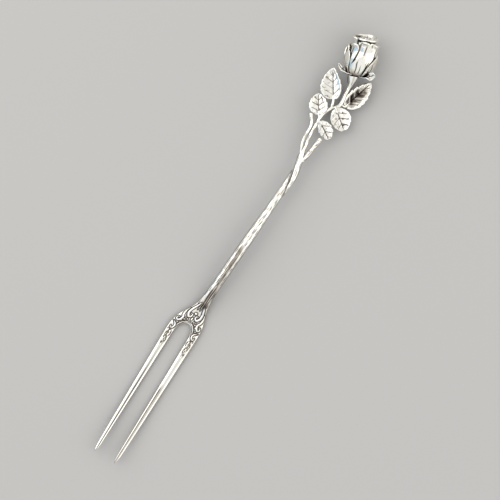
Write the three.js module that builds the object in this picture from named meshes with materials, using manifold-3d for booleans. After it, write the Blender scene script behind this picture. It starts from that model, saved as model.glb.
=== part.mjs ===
// Two-tined serving fork in chased silver. A bark stem carries a sprig: a shoot with two cut twigs, five
// leaves and a half-open rose. Millimetres; +X runs from the tine tips to the rose, +Y to the left and +Z
// up from the table that the fork lies on.
import * as THREE from "three";
import { mergeVertices } from "three/addons/utils/BufferGeometryUtils.js";
import Module from "manifold-3d";

const wasm = await Module();
wasm.setup();

// Soldered joints
const SOLDER_GAP = 0.12; // film of solder between two pieces

// Blade: two tines, the arch between them, the shoulder and the neck
const TINE_LENGTH = 50.4; // tip to the crown of the arch
const TINE_TIP_GAP = 6.3; // between the tines, at the tips
const TINE_ROOT_GAP = 5.1; // between the tines, where the arch springs
const TINE_TIP_WIDTH = 1.15;
const TINE_ROOT_WIDTH = 2.75;
const TINE_POINT_LENGTH = 3.2; // rounded nose of each tine
const TINE_TIP_THICKNESS = 0.9;
const TINE_ROOT_THICKNESS = 1.6;
const TIP_RISE = 2.8; // the tips curve up from the table
const ARCH_RISE = 4.4;
const SHOULDER_LENGTH = 10.8; // crown of the arch to the neck joint
const BACK_FLAT_LENGTH = 17; // flat back that the blade rests on
const NECK_WIDTH = 3.15;
const NECK_THICKNESS = 2.4;
const NECK_RISE = 1.3; // height of the neck's underside at the joint
const NECK_RUN = 9; // over which the neck rises
const NECK_OFFSET = 1.2; // the neck joins the shoulder to the right of the tines' middle

// Bark stem
const STEM_LENGTH = 45; // neck joint to the middle of the scarf
const STEM_WIDTH = 3.1;
const STEM_THICKNESS = 2.6;
const STEM_END_WIDTH = 2.45;
const STEM_LEAN_DEG = 2.9; // the stem leans to the right of the tines
const NECK_FLARE_RUN = 4; // over which the neck's width eases into the stem's
const SCARF_LENGTH = 9; // oblique seam between the stem and the shoot
const SPRIG_SLOPE = -0.04; // of the stem where it meets the sprig

// Shoot, twigs and rose stalk
const SHOOT_START_WIDTH = 1; // thin end of the shoot, beside the stem
const SHOOT_FOOT_WIDTH = 2.1;
const SHOOT_FOOT_LENGTH = 13.5; // along the shoot, before it narrows
const SHOOT_WIDTH = 1.15;
const SHOOT_TAPER_RUN = 3;
const LEFT_TWIG_WIDTH = 0.9;
const LEFT_TWIG_END_WIDTH = 1.4; // the cut ends are a little swollen
const RIGHT_TWIG_WIDTH = 1.5;
const RIGHT_TWIG_END_WIDTH = 1.65;
const STALK_WIDTH = 1.35;
const HIP_WIDTH = 3.7; // swollen top of the stalk, under the rose
const HIP_LENGTH = 5;
const HIP_ASIDE = 1; // it meets the calyx to the left of its middle

// Rose: its place from the middle of the scarf, and sizes along and around its own axis
const ROSE_ALONG = 41.3; // to the top of the calyx
const ROSE_ASIDE = -0.26;
const ROSE_LIFT = 0.1;
const ROSE_YAW_DEG = 16.6; // the rose turns to the left of the tines
const ROSE_PITCH_DEG = 15; // and looks up from the table
const PETAL_THICKNESS = 0.45;
const CORE_RADIUS = 1.75;
const CORE_HEIGHT = 7.6;
const BUD_RADIUS = 3.95; // inner face of the outer petals at their widest
const BUD_SWELL_HEIGHT = 4.6; // where they are widest
const BUD_NECK_RADIUS = 3.7; // where the bud draws in
const BUD_NECK_HEIGHT = 8;
const BUD_LIP_RADIUS = 3.85; // where the outer petals end
const OUTER_PETAL_COUNT = 7;
const OUTER_PETAL_HEIGHT = 9.8;
const OUTER_SLANT_DEG = 13; // the bud's mouth is higher on its right
const OUTER_FRONT_RISE = 2; // and its petals are taller in front
const OUTER_EDGE_DROP = 2; // how far the rim falls away at a petal's edges
const OUTER_ROLL = 0.5; // how far the rim rolls outwards
const INNER_PETAL_COUNT = 3;
const INNER_PETAL_RISE = 2.9; // above the outer petals
const INNER_SLANT_DEG = 6;
const INNER_EDGE_DROP = 0.25;
const INNER_ROLL = 0.7;
const GUARD_PETAL_COUNT = 6;
const GUARD_PETAL_HEIGHT = 7.4; // short pointed petals round the outer ones
const GUARD_PETAL_SPACING_DEG = 8; // between neighbours, where they are widest
const GUARD_PETAL_CURL = 0.4; // how far the tips stand off the bud
const GUARD_PETAL_TURN_DEG = -9; // turns the first of them off the front
const PETAL_OVERLAP_DEG = 22; // each petal's trailing edge laps over the next petal
const PETAL_TWIST_DEG = 20; // the petals wind round the bud as they rise
const HEART_DEPTH = 0.5; // its top lies below the inner petals' rim
const HEART_TURNS = 2.2;
const HEART_EYE_RADIUS = 0.5;
const HEART_CLEARANCE = 0.3; // between the heart and the inner petals
const CALYX_RADIUS = 2.2;
const CALYX_THICKNESS = 0.9;
const SEPAL_WIDTH = 2.3;
const SEPAL_HEIGHT = 4.2; // of the sepals that hug the petals
const SEPAL_REACH = 7.5; // tip radius of the sepals that have come away
const SEPAL_THICKNESS = 0.45;

// Leaves
const LEAF_THICKNESS = 0.55;
const LEAF_STALK_WIDTH = 0.95;
const LEAF_RIB_DEPTH = 0.16; // groove along the midrib

// Facets
const TINE_STEPS = 14;
const SHOULDER_STEPS = 12;
const BAR_SIDES = 12;

const rad = THREE.MathUtils.degToRad;
const clamp = THREE.MathUtils.clamp;
const lerp = THREE.MathUtils.lerp;
const ease = THREE.MathUtils.smoothstep;
const v3 = (x, y, z) => new THREE.Vector3(x, y, z);

// Closed meshes that can be joined and cut

function toSolid(geometry) {
  const bare = new THREE.BufferGeometry();
  bare.setAttribute("position", geometry.getAttribute("position"));
  bare.setIndex(geometry.index);
  const merged = mergeVertices(bare, 1e-4);
  const mesh = new wasm.Mesh({
    numProp: 3,
    vertProperties: new Float32Array(merged.getAttribute("position").array),
    triVerts: new Uint32Array(merged.index.array),
  });
  return new wasm.Manifold(mesh);
}

function toGeometry(solid) {
  const mesh = solid.getMesh();
  const geometry = new THREE.BufferGeometry();
  geometry.setAttribute("position", new THREE.BufferAttribute(new Float32Array(mesh.vertProperties), 3));
  geometry.setIndex(new THREE.BufferAttribute(new Uint32Array(mesh.triVerts), 1));
  geometry.computeVertexNormals();
  return geometry;
}

// What is left of a solid after the cutters, without the offcuts on the far side of them.
function trimmed(solid, ...cutters) {
  const left = cutters.reduce((rest, cutter) => rest.subtract(cutter), solid);
  return left.decompose().reduce((best, body) => (body.volume() > best.volume() ? body : best));
}

// A block that fills the space ahead of a plane, on the side that its normal points to.
function halfSpace(point, normal) {
  const size = 4 * (TINE_LENGTH + SHOULDER_LENGTH + STEM_LENGTH);
  const block = new THREE.BoxGeometry(size, size, size);
  block.translate(0, 0, size / 2);
  block.applyQuaternion(new THREE.Quaternion().setFromUnitVectors(v3(0, 0, 1), normal.clone().normalize()));
  block.translate(point.x, point.y, point.z);
  return toSolid(block);
}

// Closed skin over rings of points. Seen from the end that it runs to, each ring turns anticlockwise.
function loft(rings) {
  const sides = rings[0].length;
  const points = rings.flat();
  const index = [];
  const at = (i, j) => i * sides + (j % sides);
  for (let i = 0; i + 1 < rings.length; i++) {
    for (let j = 0; j < sides; j++) {
      index.push(at(i, j), at(i, j + 1), at(i + 1, j));
      index.push(at(i, j + 1), at(i + 1, j + 1), at(i + 1, j));
    }
  }
  const middle = (ring) => ring.reduce((sum, p) => sum.add(p), v3(0, 0, 0)).divideScalar(sides);
  const last = rings.length - 1;
  const firstCentre = points.push(middle(rings[0])) - 1;
  const lastCentre = points.push(middle(rings[last])) - 1;
  for (let j = 0; j < sides; j++) {
    index.push(firstCentre, at(0, j + 1), at(0, j));
    index.push(lastCentre, at(last, j), at(last, j + 1));
  }
  return new THREE.BufferGeometry().setFromPoints(points).setIndex(index);
}

// Thin closed plate. face(u, v, upper) gives a point of its upper or lower face, u and v from 0 to 1.
function plate(columns, rows, face) {
  const points = [];
  for (const upper of [true, false]) {
    for (let i = 0; i <= columns; i++) {
      for (let j = 0; j <= rows; j++) points.push(face(i / columns, j / rows, upper));
    }
  }
  const index = [];
  const up = (i, j) => i * (rows + 1) + j;
  const down = (i, j) => up(i, j) + (columns + 1) * (rows + 1);
  const quad = (a, b, c, d) => index.push(a, b, c, a, c, d);
  for (let i = 0; i < columns; i++) {
    for (let j = 0; j < rows; j++) {
      quad(up(i, j), up(i + 1, j), up(i + 1, j + 1), up(i, j + 1));
      quad(down(i, j), down(i, j + 1), down(i + 1, j + 1), down(i + 1, j));
    }
    quad(up(i, 0), down(i, 0), down(i + 1, 0), up(i + 1, 0));
    quad(up(i, rows), up(i + 1, rows), down(i + 1, rows), down(i, rows));
  }
  for (let j = 0; j < rows; j++) {
    quad(up(0, j), up(0, j + 1), down(0, j + 1), down(0, j));
    quad(up(columns, j), down(columns, j), down(columns, j + 1), up(columns, j + 1));
  }
  return new THREE.BufferGeometry().setFromPoints(points).setIndex(index);
}

// Round bar along a curve. Its width(distance) and thickness(distance) are given in mm along it, and grow
// fattens it all round.
function bar(curve, steps, width, { thickness = width, grow = 0 } = {}) {
  const length = curve.getLength();
  const rings = [];
  for (let i = 0; i <= steps; i++) {
    const centre = curve.getPointAt(i / steps);
    const along = curve.getTangentAt(i / steps);
    const side = v3(0, 0, 1).cross(along).normalize();
    const over = along.clone().cross(side);
    const distance = (length * i) / steps;
    const halfWidth = width(distance) / 2 + grow;
    const halfThickness = thickness(distance) / 2 + grow;
    const ring = [];
    for (let j = 0; j < BAR_SIDES; j++) {
      const angle = (2 * Math.PI * j) / BAR_SIDES;
      const point = centre.clone();
      point.addScaledVector(side, halfWidth * Math.cos(angle));
      point.addScaledVector(over, halfThickness * Math.sin(angle));
      ring.push(point);
    }
    rings.push(ring);
  }
  return toSolid(loft(rings));
}

// Blade

const crownX = -SHOULDER_LENGTH;
const springX = crownX - ARCH_RISE;
const tipX = crownX - TINE_LENGTH;
const flatEndX = -NECK_RUN;
const flatStartX = flatEndX - BACK_FLAT_LENGTH;

// Height of the blade's back above the table.
function backHeight(x) {
  if (x > flatEndX) return NECK_RISE * ((x - flatEndX) / NECK_RUN) ** 2;
  if (x < flatStartX) return TIP_RISE * ((flatStartX - x) / (flatStartX - tipX)) ** 2;
  return 0;
}

function bladeThickness(x) {
  if (x > crownX) return lerp(TINE_ROOT_THICKNESS, NECK_THICKNESS, ease(x, crownX, 0));
  return lerp(TINE_TIP_THICKNESS, TINE_ROOT_THICKNESS, clamp((x - tipX) / (springX - tipX), 0, 1));
}

// Inner and outer edge of the left tine, from its tip to where the arch springs.
function tineEdges(share) {
  const x = lerp(tipX, springX, share);
  const width = lerp(TINE_TIP_WIDTH, TINE_ROOT_WIDTH, share ** 0.85);
  const middle = (lerp(TINE_TIP_GAP, TINE_ROOT_GAP, share) + width) / 2;
  const fromNose = clamp(1 - (x - tipX) / TINE_POINT_LENGTH, 0, 1);
  const half = (width / 2) * Math.max(0.2, Math.sqrt(1 - fromNose ** 2));
  return [v3(x, middle - half, 0), v3(x, middle + half, 0)];
}

// Inner and outer edge of the left half of the shoulder, from the spring of the arch to its crown. The
// neck runs on past the joint, where it is cut square.
const shoulderRun = ARCH_RISE + SHOULDER_LENGTH;
const shoulderHalf = TINE_ROOT_GAP / 2 + TINE_ROOT_WIDTH;
const shoulderOgee = new THREE.CubicBezierCurve(
  new THREE.Vector2(springX, shoulderHalf),
  new THREE.Vector2(springX + 0.62 * shoulderRun, shoulderHalf),
  new THREE.Vector2(springX + 0.45 * shoulderRun, NECK_WIDTH / 2),
  new THREE.Vector2(NECK_WIDTH, NECK_WIDTH / 2),
);

function shoulderEdges(share) {
  const turn = (share * Math.PI) / 2;
  const inner = v3(springX + ARCH_RISE * Math.sin(turn), (TINE_ROOT_GAP / 2) * Math.cos(turn), 0);
  const ogeeShare = 0.8; // the rest of the outline runs across the end of the neck
  const onOgee = shoulderOgee.getPoint(Math.min(1, share / ogeeShare));
  const acrossNeck = clamp((share - ogeeShare) / (1 - ogeeShare), 0, 1);
  return [inner, v3(onOgee.x, onOgee.y * (1 - acrossNeck), 0)];
}

// Ring round the blade between two edge points: over the crowned top and back along the flat underside.
function bladeRing([inner, outer], side) {
  const flatHalf = 0.5; // share of the half width that is flat underneath
  const crown = (v) => Math.sqrt(1 - Math.abs(v) ** 2.6);
  const bevel = (v) => Math.max(0, (Math.abs(v) - flatHalf) / (1 - flatHalf)) ** 2;
  const point = (v, height) => {
    const p = inner.clone().lerp(outer, (1 + v) / 2);
    const z = backHeight(p.x) + (bladeThickness(p.x) / 2) * height(v);
    return v3(p.x, side * p.y - NECK_OFFSET * ease(p.x, springX, 0), z);
  };
  const over = [1, 0.88, 0.55, 0, -0.55, -0.88, -1].map((v) => point(v, () => 1 + crown(v)));
  const under = [-0.8, -flatHalf, flatHalf, 0.8].map((v) => point(v, bevel));
  return [...over, ...under];
}

function makeBlade() {
  const edges = [];
  for (let i = 0; i < TINE_STEPS; i++) edges.push(tineEdges((i / TINE_STEPS) ** 1.5));
  for (let i = 0; i <= SHOULDER_STEPS; i++) edges.push(shoulderEdges(i / SHOULDER_STEPS));
  const left = edges.map((edge) => bladeRing(edge, 1));
  const right = edges.slice(0, -1).map((edge) => bladeRing(edge, -1));
  const hairpin = toSolid(loft([...left, ...right.reverse()]));
  return trimmed(hairpin, halfSpace(v3(-SOLDER_GAP / 2, 0, 0), v3(1, 0, 0)));
}

// Rose, about its own axis: heights are from the top of the calyx

const lap = PETAL_THICKNESS + SOLDER_GAP; // one petal and the solder between it and the next
const nest = 2 * lap; // two laps of inner petals, inside the outer ones
const budFootRadius = CORE_RADIUS + SOLDER_GAP;
const swellPower = 0.65;
const innerPetalHeight = OUTER_PETAL_HEIGHT + INNER_PETAL_RISE;

// Inner face of the outer petals: it swells from the core, draws in and opens to a lip.
function budRadius(h) {
  const rise = Math.sin((Math.PI / 2) * clamp(h / BUD_SWELL_HEIGHT, 0, 1)) ** swellPower;
  const drawIn = (BUD_RADIUS - BUD_NECK_RADIUS) * ease(h, BUD_SWELL_HEIGHT, BUD_NECK_HEIGHT);
  const open = (BUD_LIP_RADIUS - BUD_NECK_RADIUS) * ease(h, BUD_NECK_HEIGHT, OUTER_PETAL_HEIGHT);
  return lerp(budFootRadius, BUD_RADIUS, rise) - drawIn + open;
}

// The inner petals lie inside the outer ones and stand up straight from the bud's neck.
const innerRadius = (h) => budRadius(Math.min(h, BUD_NECK_HEIGHT)) - nest;
const footRise = (nest / (BUD_RADIUS - budFootRadius)) ** (1 / swellPower);
const innerFootHeight = (BUD_SWELL_HEIGHT * Math.asin(footRise) * 2) / Math.PI;

// Inner face of the guard petals, outside the laps of the outer ones, and outermost face of the bud.
const guardRadius = (h) => budRadius(h) + 2 * lap;
const budReach = (h) => guardRadius(h) + PETAL_THICKNESS;

// A mouth's slant, as a rise at a place round the axis.
const slant = (slantDeg, r, turn) => Math.tan(rad(slantDeg)) * r * Math.sin(turn);

// One petal of a whorl. Its leading edge is tucked under its neighbour and its trailing edge laps over the
// next, so it steps out by one lap on the way. A level rim rolls out all along, and a ragged one where no
// neighbour covers it.
function makePetal(whorl, number) {
  const pitch = (2 * Math.PI) / whorl.count;
  const overlap = rad(PETAL_OVERLAP_DEG);
  const span = pitch + overlap;
  return toSolid(
    plate(whorl.columns, 7, (u, v, outside) => {
      const angle = u * span;
      const footTurn = angle + pitch * (number + whorl.phase);
      const topTurn = footTurn + rad(PETAL_TWIST_DEG);
      const front = whorl.frontRise * Math.max(0, Math.cos(topTurn)) ** 2;
      const level = whorl.top + slant(whorl.slantDeg, BUD_NECK_RADIUS, topTurn) + front;
      const rim = level - whorl.edgeDrop * Math.abs(2 * u - 1) ** 3;
      const h = lerp(whorl.foot, rim, v);
      const step = lap * ease(angle, overlap * 1.1, pitch * 0.98);
      const free = whorl.levelRim ? 1 : ease(angle, overlap * 1.02, overlap * 1.6);
      const roll = whorl.roll * free * clamp(1 - (level - h) / whorl.rollRun, 0, 1) ** 2;
      const r = whorl.radius(h) + step + roll + (outside ? PETAL_THICKNESS : 0);
      const turn = footTurn + rad(PETAL_TWIST_DEG) * ease(h, 0, OUTER_PETAL_HEIGHT);
      return v3(r * Math.cos(turn), r * Math.sin(turn), h - 0.4 * roll);
    }),
  );
}

const whorls = {
  inner_petal: {
    count: INNER_PETAL_COUNT, phase: 0.3, columns: 11, radius: innerRadius, foot: innerFootHeight,
    top: innerPetalHeight, slantDeg: INNER_SLANT_DEG, frontRise: 0,
    edgeDrop: INNER_EDGE_DROP, levelRim: true,
    roll: INNER_ROLL, rollRun: INNER_PETAL_RISE,
  },
  outer_petal: {
    count: OUTER_PETAL_COUNT, phase: 0.87, columns: 9, radius: budRadius, foot: SOLDER_GAP,
    top: OUTER_PETAL_HEIGHT, slantDeg: OUTER_SLANT_DEG, frontRise: OUTER_FRONT_RISE,
    edgeDrop: OUTER_EDGE_DROP, levelRim: false,
    roll: OUTER_ROLL, rollRun: OUTER_PETAL_HEIGHT - BUD_NECK_HEIGHT,
  },
};

// A guard petal: its edges curve in to a tip that stands off the bud.
function makeGuardPetal(number) {
  const pitch = (2 * Math.PI) / GUARD_PETAL_COUNT;
  const half = (pitch - rad(GUARD_PETAL_SPACING_DEG)) / 2;
  return toSolid(
    plate(8, 5, (u, v, outside) => {
      const side = 2 * u - 1;
      const rim = GUARD_PETAL_HEIGHT * (1 - 0.55 * Math.abs(side) ** 1.6);
      const h = lerp(SOLDER_GAP, rim, v);
      const curl = GUARD_PETAL_CURL * ease(h, 0.5 * GUARD_PETAL_HEIGHT, GUARD_PETAL_HEIGHT);
      const r = guardRadius(h) + curl + (outside ? PETAL_THICKNESS : 0);
      const footTurn = rad(GUARD_PETAL_TURN_DEG) + pitch * number + side * half;
      const turn = footTurn + rad(PETAL_TWIST_DEG) * ease(h, 0, OUTER_PETAL_HEIGHT);
      return v3(r * Math.cos(turn), r * Math.sin(turn), h);
    }),
  );
}

function makeCore() {
  const foot = SOLDER_GAP;
  const profile = [
    new THREE.Vector2(0, foot),
    new THREE.Vector2(CORE_RADIUS, foot),
    new THREE.Vector2(CORE_RADIUS, CORE_HEIGHT),
    new THREE.Vector2(0, CORE_HEIGHT),
  ];
  const post = new THREE.LatheGeometry(profile, 20);
  return toSolid(post.rotateX(Math.PI / 2));
}

// The heart: a strip rolled up into a spiral that stands on the core.
function makeHeart() {
  const foot = CORE_HEIGHT + SOLDER_GAP;
  const height = innerPetalHeight - HEART_DEPTH - foot;
  const outer = innerRadius(BUD_NECK_HEIGHT) - HEART_CLEARANCE - PETAL_THICKNESS;
  return toSolid(
    plate(30, 3, (u, v, outside) => {
      const angle = u * HEART_TURNS * 2 * Math.PI;
      const r = lerp(HEART_EYE_RADIUS, outer, u) + (outside ? PETAL_THICKNESS : 0);
      const dip = 0.12 * Math.sin(angle * 1.5) ** 2 + 0.2 * u ** 6;
      const top = foot + height * (1 - dip) + slant(INNER_SLANT_DEG, r, angle);
      return v3(r * Math.cos(angle), r * Math.sin(angle), lerp(foot, top, v));
    }),
  );
}

// Half width of a sepal along its length, as a share of its greatest.
const sepalHalf = (u, tip) => Math.max(tip, 1.15 * Math.sin(Math.PI * (0.25 + 0.72 * u)) ** 1.2 - 0.13);

// Radius and height along a sepal, from inside the calyx's disc to the sepal's tip.
function sepalPath(places) {
  const root = -CALYX_THICKNESS / 2;
  const all = [[CALYX_RADIUS / 2, root], [CALYX_RADIUS, root], ...places];
  return new THREE.SplineCurve(all.map(([r, h]) => new THREE.Vector2(r, h)));
}

// A sepal that hugs the bud, bent round it.
function huggingSepal(azimuth) {
  const clear = 2 * SOLDER_GAP + SEPAL_THICKNESS / 2;
  const heights = [0.12, 0.3, 0.65, 1].map((share) => share * SEPAL_HEIGHT);
  const places = heights.map((h) => [budReach(h) + clear, h]);
  const path = sepalPath([[budReach(0) + clear, -SEPAL_THICKNESS / 2], ...places]);
  return toSolid(
    plate(9, 4, (u, v, inside) => {
      const p = path.getPoint(u);
      const run = path.getTangent(u);
      const offset = (inside ? -SEPAL_THICKNESS : SEPAL_THICKNESS) / 2;
      const r = p.x + offset * run.y;
      const across = (2 * v - 1) * (SEPAL_WIDTH / 2) * sepalHalf(u, 0.06);
      const turn = azimuth + across / Math.max(r, CALYX_RADIUS);
      return v3(r * Math.cos(turn), r * Math.sin(turn), p.y - offset * run.x);
    }),
  );
}

// A sepal that has come away from the bud and turns until its face looks to the front.
function splayedSepal(azimuth, width) {
  const shares = [[0.62, 0], [0.77, 0.19], [0.9, 0.4], [1, 0.6]];
  const path = sepalPath(shares.map(([r, h]) => [r * SEPAL_REACH, h * SEPAL_HEIGHT]));
  const outwards = v3(Math.cos(azimuth), Math.sin(azimuth), 0);
  const sideways = v3(-Math.sin(azimuth), Math.cos(azimuth), 0);
  return toSolid(
    plate(10, 2, (u, v, inside) => {
      const p = path.getPoint(u);
      const run = path.getTangent(u);
      const along = outwards.clone().multiplyScalar(run.x).setZ(run.y);
      const faceOn = v3(1, 0, 0).cross(along).normalize();
      const across = sideways.clone().lerp(faceOn, ease(u, 0.45, 0.8)).normalize();
      const point = outwards.clone().multiplyScalar(p.x).setZ(p.y);
      point.addScaledVector(across, (2 * v - 1) * (width / 2) * sepalHalf(u, 0.4));
      return point.addScaledVector(along.cross(across), (inside ? SEPAL_THICKNESS : -SEPAL_THICKNESS) / 2);
    }),
  );
}

function makeCalyx() {
  const profile = [
    new THREE.Vector2(0, -CALYX_THICKNESS),
    new THREE.Vector2(0.8 * CALYX_RADIUS, -CALYX_THICKNESS),
    new THREE.Vector2(CALYX_RADIUS, -CALYX_THICKNESS / 2),
    new THREE.Vector2(0.95 * CALYX_RADIUS, 0),
    new THREE.Vector2(0, 0),
  ];
  const disc = toSolid(new THREE.LatheGeometry(profile, 30).rotateX(Math.PI / 2));
  const sepals = [120, 180, 240].map((azimuthDeg) => huggingSepal(rad(azimuthDeg)));
  sepals.push(splayedSepal(rad(50), SEPAL_WIDTH), splayedSepal(rad(-62), 0.6 * SEPAL_WIDTH));
  return sepals.reduce((star, sepal) => star.add(sepal), disc);
}

// Materials

const silver = (tone, roughness) => new THREE.MeshStandardMaterial({ color: tone, roughness, metalness: 1 });
const POLISHED = [0xdedbd3, 0.16];
const BARK = [0xb9b2a4, 0.34];
const LEAF = [0xbdb8ad, 0.28];
const PETAL = [0xd3cfc6, 0.2];

function piece(name, solid, finish) {
  const mesh = new THREE.Mesh(toGeometry(solid), silver(...finish));
  mesh.name = name;
  return mesh;
}

// The rose's own +X is the side that faces up when the rose is laid along +X and pitched.
function makeRose() {
  const rose = new THREE.Group();
  rose.add(piece("calyx", makeCalyx(), LEAF));
  rose.add(piece("rose_core", makeCore(), PETAL));
  rose.add(piece("heart_scroll", makeHeart(), PETAL));
  for (const [name, whorl] of Object.entries(whorls)) {
    for (let i = 0; i < whorl.count; i++) rose.add(piece(`${name}_${i + 1}`, makePetal(whorl, i), PETAL));
  }
  for (let i = 0; i < GUARD_PETAL_COUNT; i++) {
    rose.add(piece(`guard_petal_${i + 1}`, makeGuardPetal(i), PETAL));
  }
  const yaw = rad(ROSE_YAW_DEG);
  const pitch = rad(ROSE_PITCH_DEG);
  const axis = v3(Math.cos(pitch) * Math.cos(yaw), Math.cos(pitch) * Math.sin(yaw), Math.sin(pitch));
  const right = v3(Math.sin(yaw), -Math.cos(yaw), 0);
  const upper = right.clone().cross(axis);
  rose.quaternion.setFromRotationMatrix(new THREE.Matrix4().makeBasis(upper, right, axis));
  return { rose, axis };
}

// Handle: the stem's centre line rises from the neck in a low arch and comes down to the sprig, whose rose
// rests on the table beside the blade's back. Sprig places are from the middle of the scarf.

const { rose, axis: roseAxis } = makeRose();
const roseSeat = v3(ROSE_ALONG, ROSE_ASIDE, ROSE_LIFT);
const roseLowest = new THREE.Box3().setFromObject(rose, true).min.z;
const neckHeight = NECK_RISE + NECK_THICKNESS / 2;
const sprigHeight = -roseLowest - roseSeat.z;
const neckSlope = (2 * NECK_RISE) / NECK_RUN;
const stemLean = Math.tan(rad(STEM_LEAN_DEG));

function stemPoint(x) {
  const t = x / STEM_LENGTH;
  const rise = lerp(neckHeight, sprigHeight, ease(t, 0, 1));
  const arch = STEM_LENGTH * t * (1 - t) * (neckSlope * (1 - t) - SPRIG_SLOPE * t);
  return v3(x, -NECK_OFFSET - stemLean * x, rise + arch);
}
const scarfMiddle = stemPoint(STEM_LENGTH);

class StemLine extends THREE.Curve {
  getPoint(t) {
    return stemPoint(lerp(-NECK_WIDTH / 2, STEM_LENGTH + 0.6 * SCARF_LENGTH, t));
  }
}

// The scarf is an upright plane that crosses the stem from its right edge to its left.
const scarfTurn = Math.atan(STEM_END_WIDTH / SCARF_LENGTH) - rad(STEM_LEAN_DEG);
const scarfLeft = v3(-Math.sin(scarfTurn), Math.cos(scarfTurn), 0);

function makeStem() {
  const width = (d) => {
    const taper = ease(d, 0.5 * STEM_LENGTH, STEM_LENGTH - SCARF_LENGTH / 2);
    const body = lerp(STEM_WIDTH, STEM_END_WIDTH, taper);
    return lerp(NECK_WIDTH, body, ease(d, NECK_WIDTH / 2, NECK_WIDTH / 2 + NECK_FLARE_RUN));
  };
  const thickness = (d) => {
    const body = (width(d) * STEM_THICKNESS) / STEM_WIDTH;
    return lerp(NECK_THICKNESS, body, ease(d, NECK_WIDTH / 2, NECK_WIDTH / 2 + NECK_FLARE_RUN));
  };
  const stem = bar(new StemLine(), 22, width, { thickness });
  const neckSide = halfSpace(v3(SOLDER_GAP / 2, 0, 0), v3(-1, 0, 0));
  const seam = scarfMiddle.clone().addScaledVector(scarfLeft, SOLDER_GAP / 2);
  const shootSide = halfSpace(seam, scarfLeft.clone().negate());
  return trimmed(stem, neckSide, shootSide);
}

// Sprig

const through = (...points) => new THREE.CatmullRomCurve3(points.map(([x, y, z]) => v3(x, y, z)));

const shootLine = through(
  [-0.5 * SCARF_LENGTH, -0.5 * (STEM_END_WIDTH - SHOOT_START_WIDTH), 0],
  [1.9, -0.75, 0], [6.5, 0.2, 0], [9.2, 0.82, 0], [12.7, 1.32, -0.1], [16.3, 1.93, -0.25],
  [19.5, 2.15, -0.4], [22.1, 2.26, -0.55], [24, 2.1, -0.65], [25.8, 1.58, -0.75],
  [27.2, 0.8, -0.8], [28.7, -0.5, -0.9],
);
function shootWidth(d) {
  const foot = lerp(SHOOT_START_WIDTH, SHOOT_FOOT_WIDTH, ease(d, 0, SCARF_LENGTH));
  return lerp(foot, SHOOT_WIDTH, ease(d, SHOOT_FOOT_LENGTH, SHOOT_FOOT_LENGTH + SHOOT_TAPER_RUN));
}
const shootBar = (grow) => bar(shootLine, 30, shootWidth, { grow });

const leftTwigLine = through(
  [9, 1, 0], [10.5, 1.75, 0.05], [12, 2.48, 0.1], [13.75, 3, 0.1], [15.5, 3.22, 0.05],
  [17.2, 3.24, 0], [18.7, 3.3, 0], [20, 3.68, 0], [21.2, 4.42, 0], [22.5, 5.35, 0],
);
const rightTwigLine = through([7.9, -0.2, 0], [10.4, -0.7, -0.1], [13.8, -1.12, -0.2], [17.1, -1.6, -0.3]);

function twigBar(line, steps, startWidth, endWidth, grow) {
  const length = line.getLength();
  const width = (d) => lerp(startWidth, endWidth, ease(d, 0.6 * length, length));
  return bar(line, steps, width, { grow });
}
const leftTwigBar = (grow) => twigBar(leftTwigLine, 20, LEFT_TWIG_WIDTH, LEFT_TWIG_END_WIDTH, grow);
const rightTwigBar = (grow) => twigBar(rightTwigLine, 12, RIGHT_TWIG_WIDTH, RIGHT_TWIG_END_WIDTH, grow);

const roseLeft = v3(0, 0, 1).cross(roseAxis).normalize();
const hipTop = roseSeat.clone().addScaledVector(roseAxis, -CALYX_THICKNESS - SOLDER_GAP);
hipTop.addScaledVector(roseLeft, HIP_ASIDE);
const hipFoot = hipTop.clone().addScaledVector(roseAxis, -0.6 * HIP_LENGTH);
const stalkLine = through(
  [28.5, -0.65, -0.9], [29.6, -1.12, -1.05], [31.2, -1.12, -1.25], [33.2, -0.78, -1.4],
  hipFoot.toArray(), hipTop.clone().addScaledVector(roseAxis, SOLDER_GAP).toArray(),
);
function stalkBar(grow) {
  const length = stalkLine.getLength();
  const width = (d) => lerp(STALK_WIDTH, HIP_WIDTH, ease(d, length - HIP_LENGTH, length));
  return bar(stalkLine, 18, width, { grow });
}

// Leaf in its own frame: +X along the midrib, +Z its upper face. Shape values are in mm or degrees. skew
// makes its left half wider than its right one, belly moves its widest place and fullness squares its
// outline.
function leafBlade({ length, width, skew, belly, fullness, teeth, toothDepth, cup, droop, curl }) {
  const ranks = [-1, -0.62, -0.16, 0, 0.16, 0.62, 1];
  const columns = 3 * teeth;
  return plate(columns, ranks.length - 1, (share, rank, upper) => {
    const u = lerp(0.03, 0.985, share);
    const v = ranks[Math.round(rank * (ranks.length - 1))];
    const edge = Math.abs(v) ** 3;
    const waist = Math.sin(Math.PI * share);
    const tooth = toothDepth * ((share * teeth) % 1) * waist * edge;
    const outline = (width / 2) * (1 + skew * Math.sign(v)) * Math.sin(Math.PI * u ** belly) ** fullness;
    const half = Math.max(outline, 0.35 * LEAF_STALK_WIDTH);
    const y = v * (half + tooth - (toothDepth / 2) * edge * waist);
    const x = u * length + tooth * 0.8;
    const rib = v === 0 ? -LEAF_RIB_DEPTH : 0;
    const bend = cup * v * v * (half / width) * 2 - droop * u * u + curl * Math.max(0, -v) ** 3 * u;
    const thin = 1 - 0.35 * edge;
    return v3(x, y, bend + (upper ? LEAF_THICKNESS / 2 * thin + rib : (-LEAF_THICKNESS / 2) * thin));
  });
}

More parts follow.
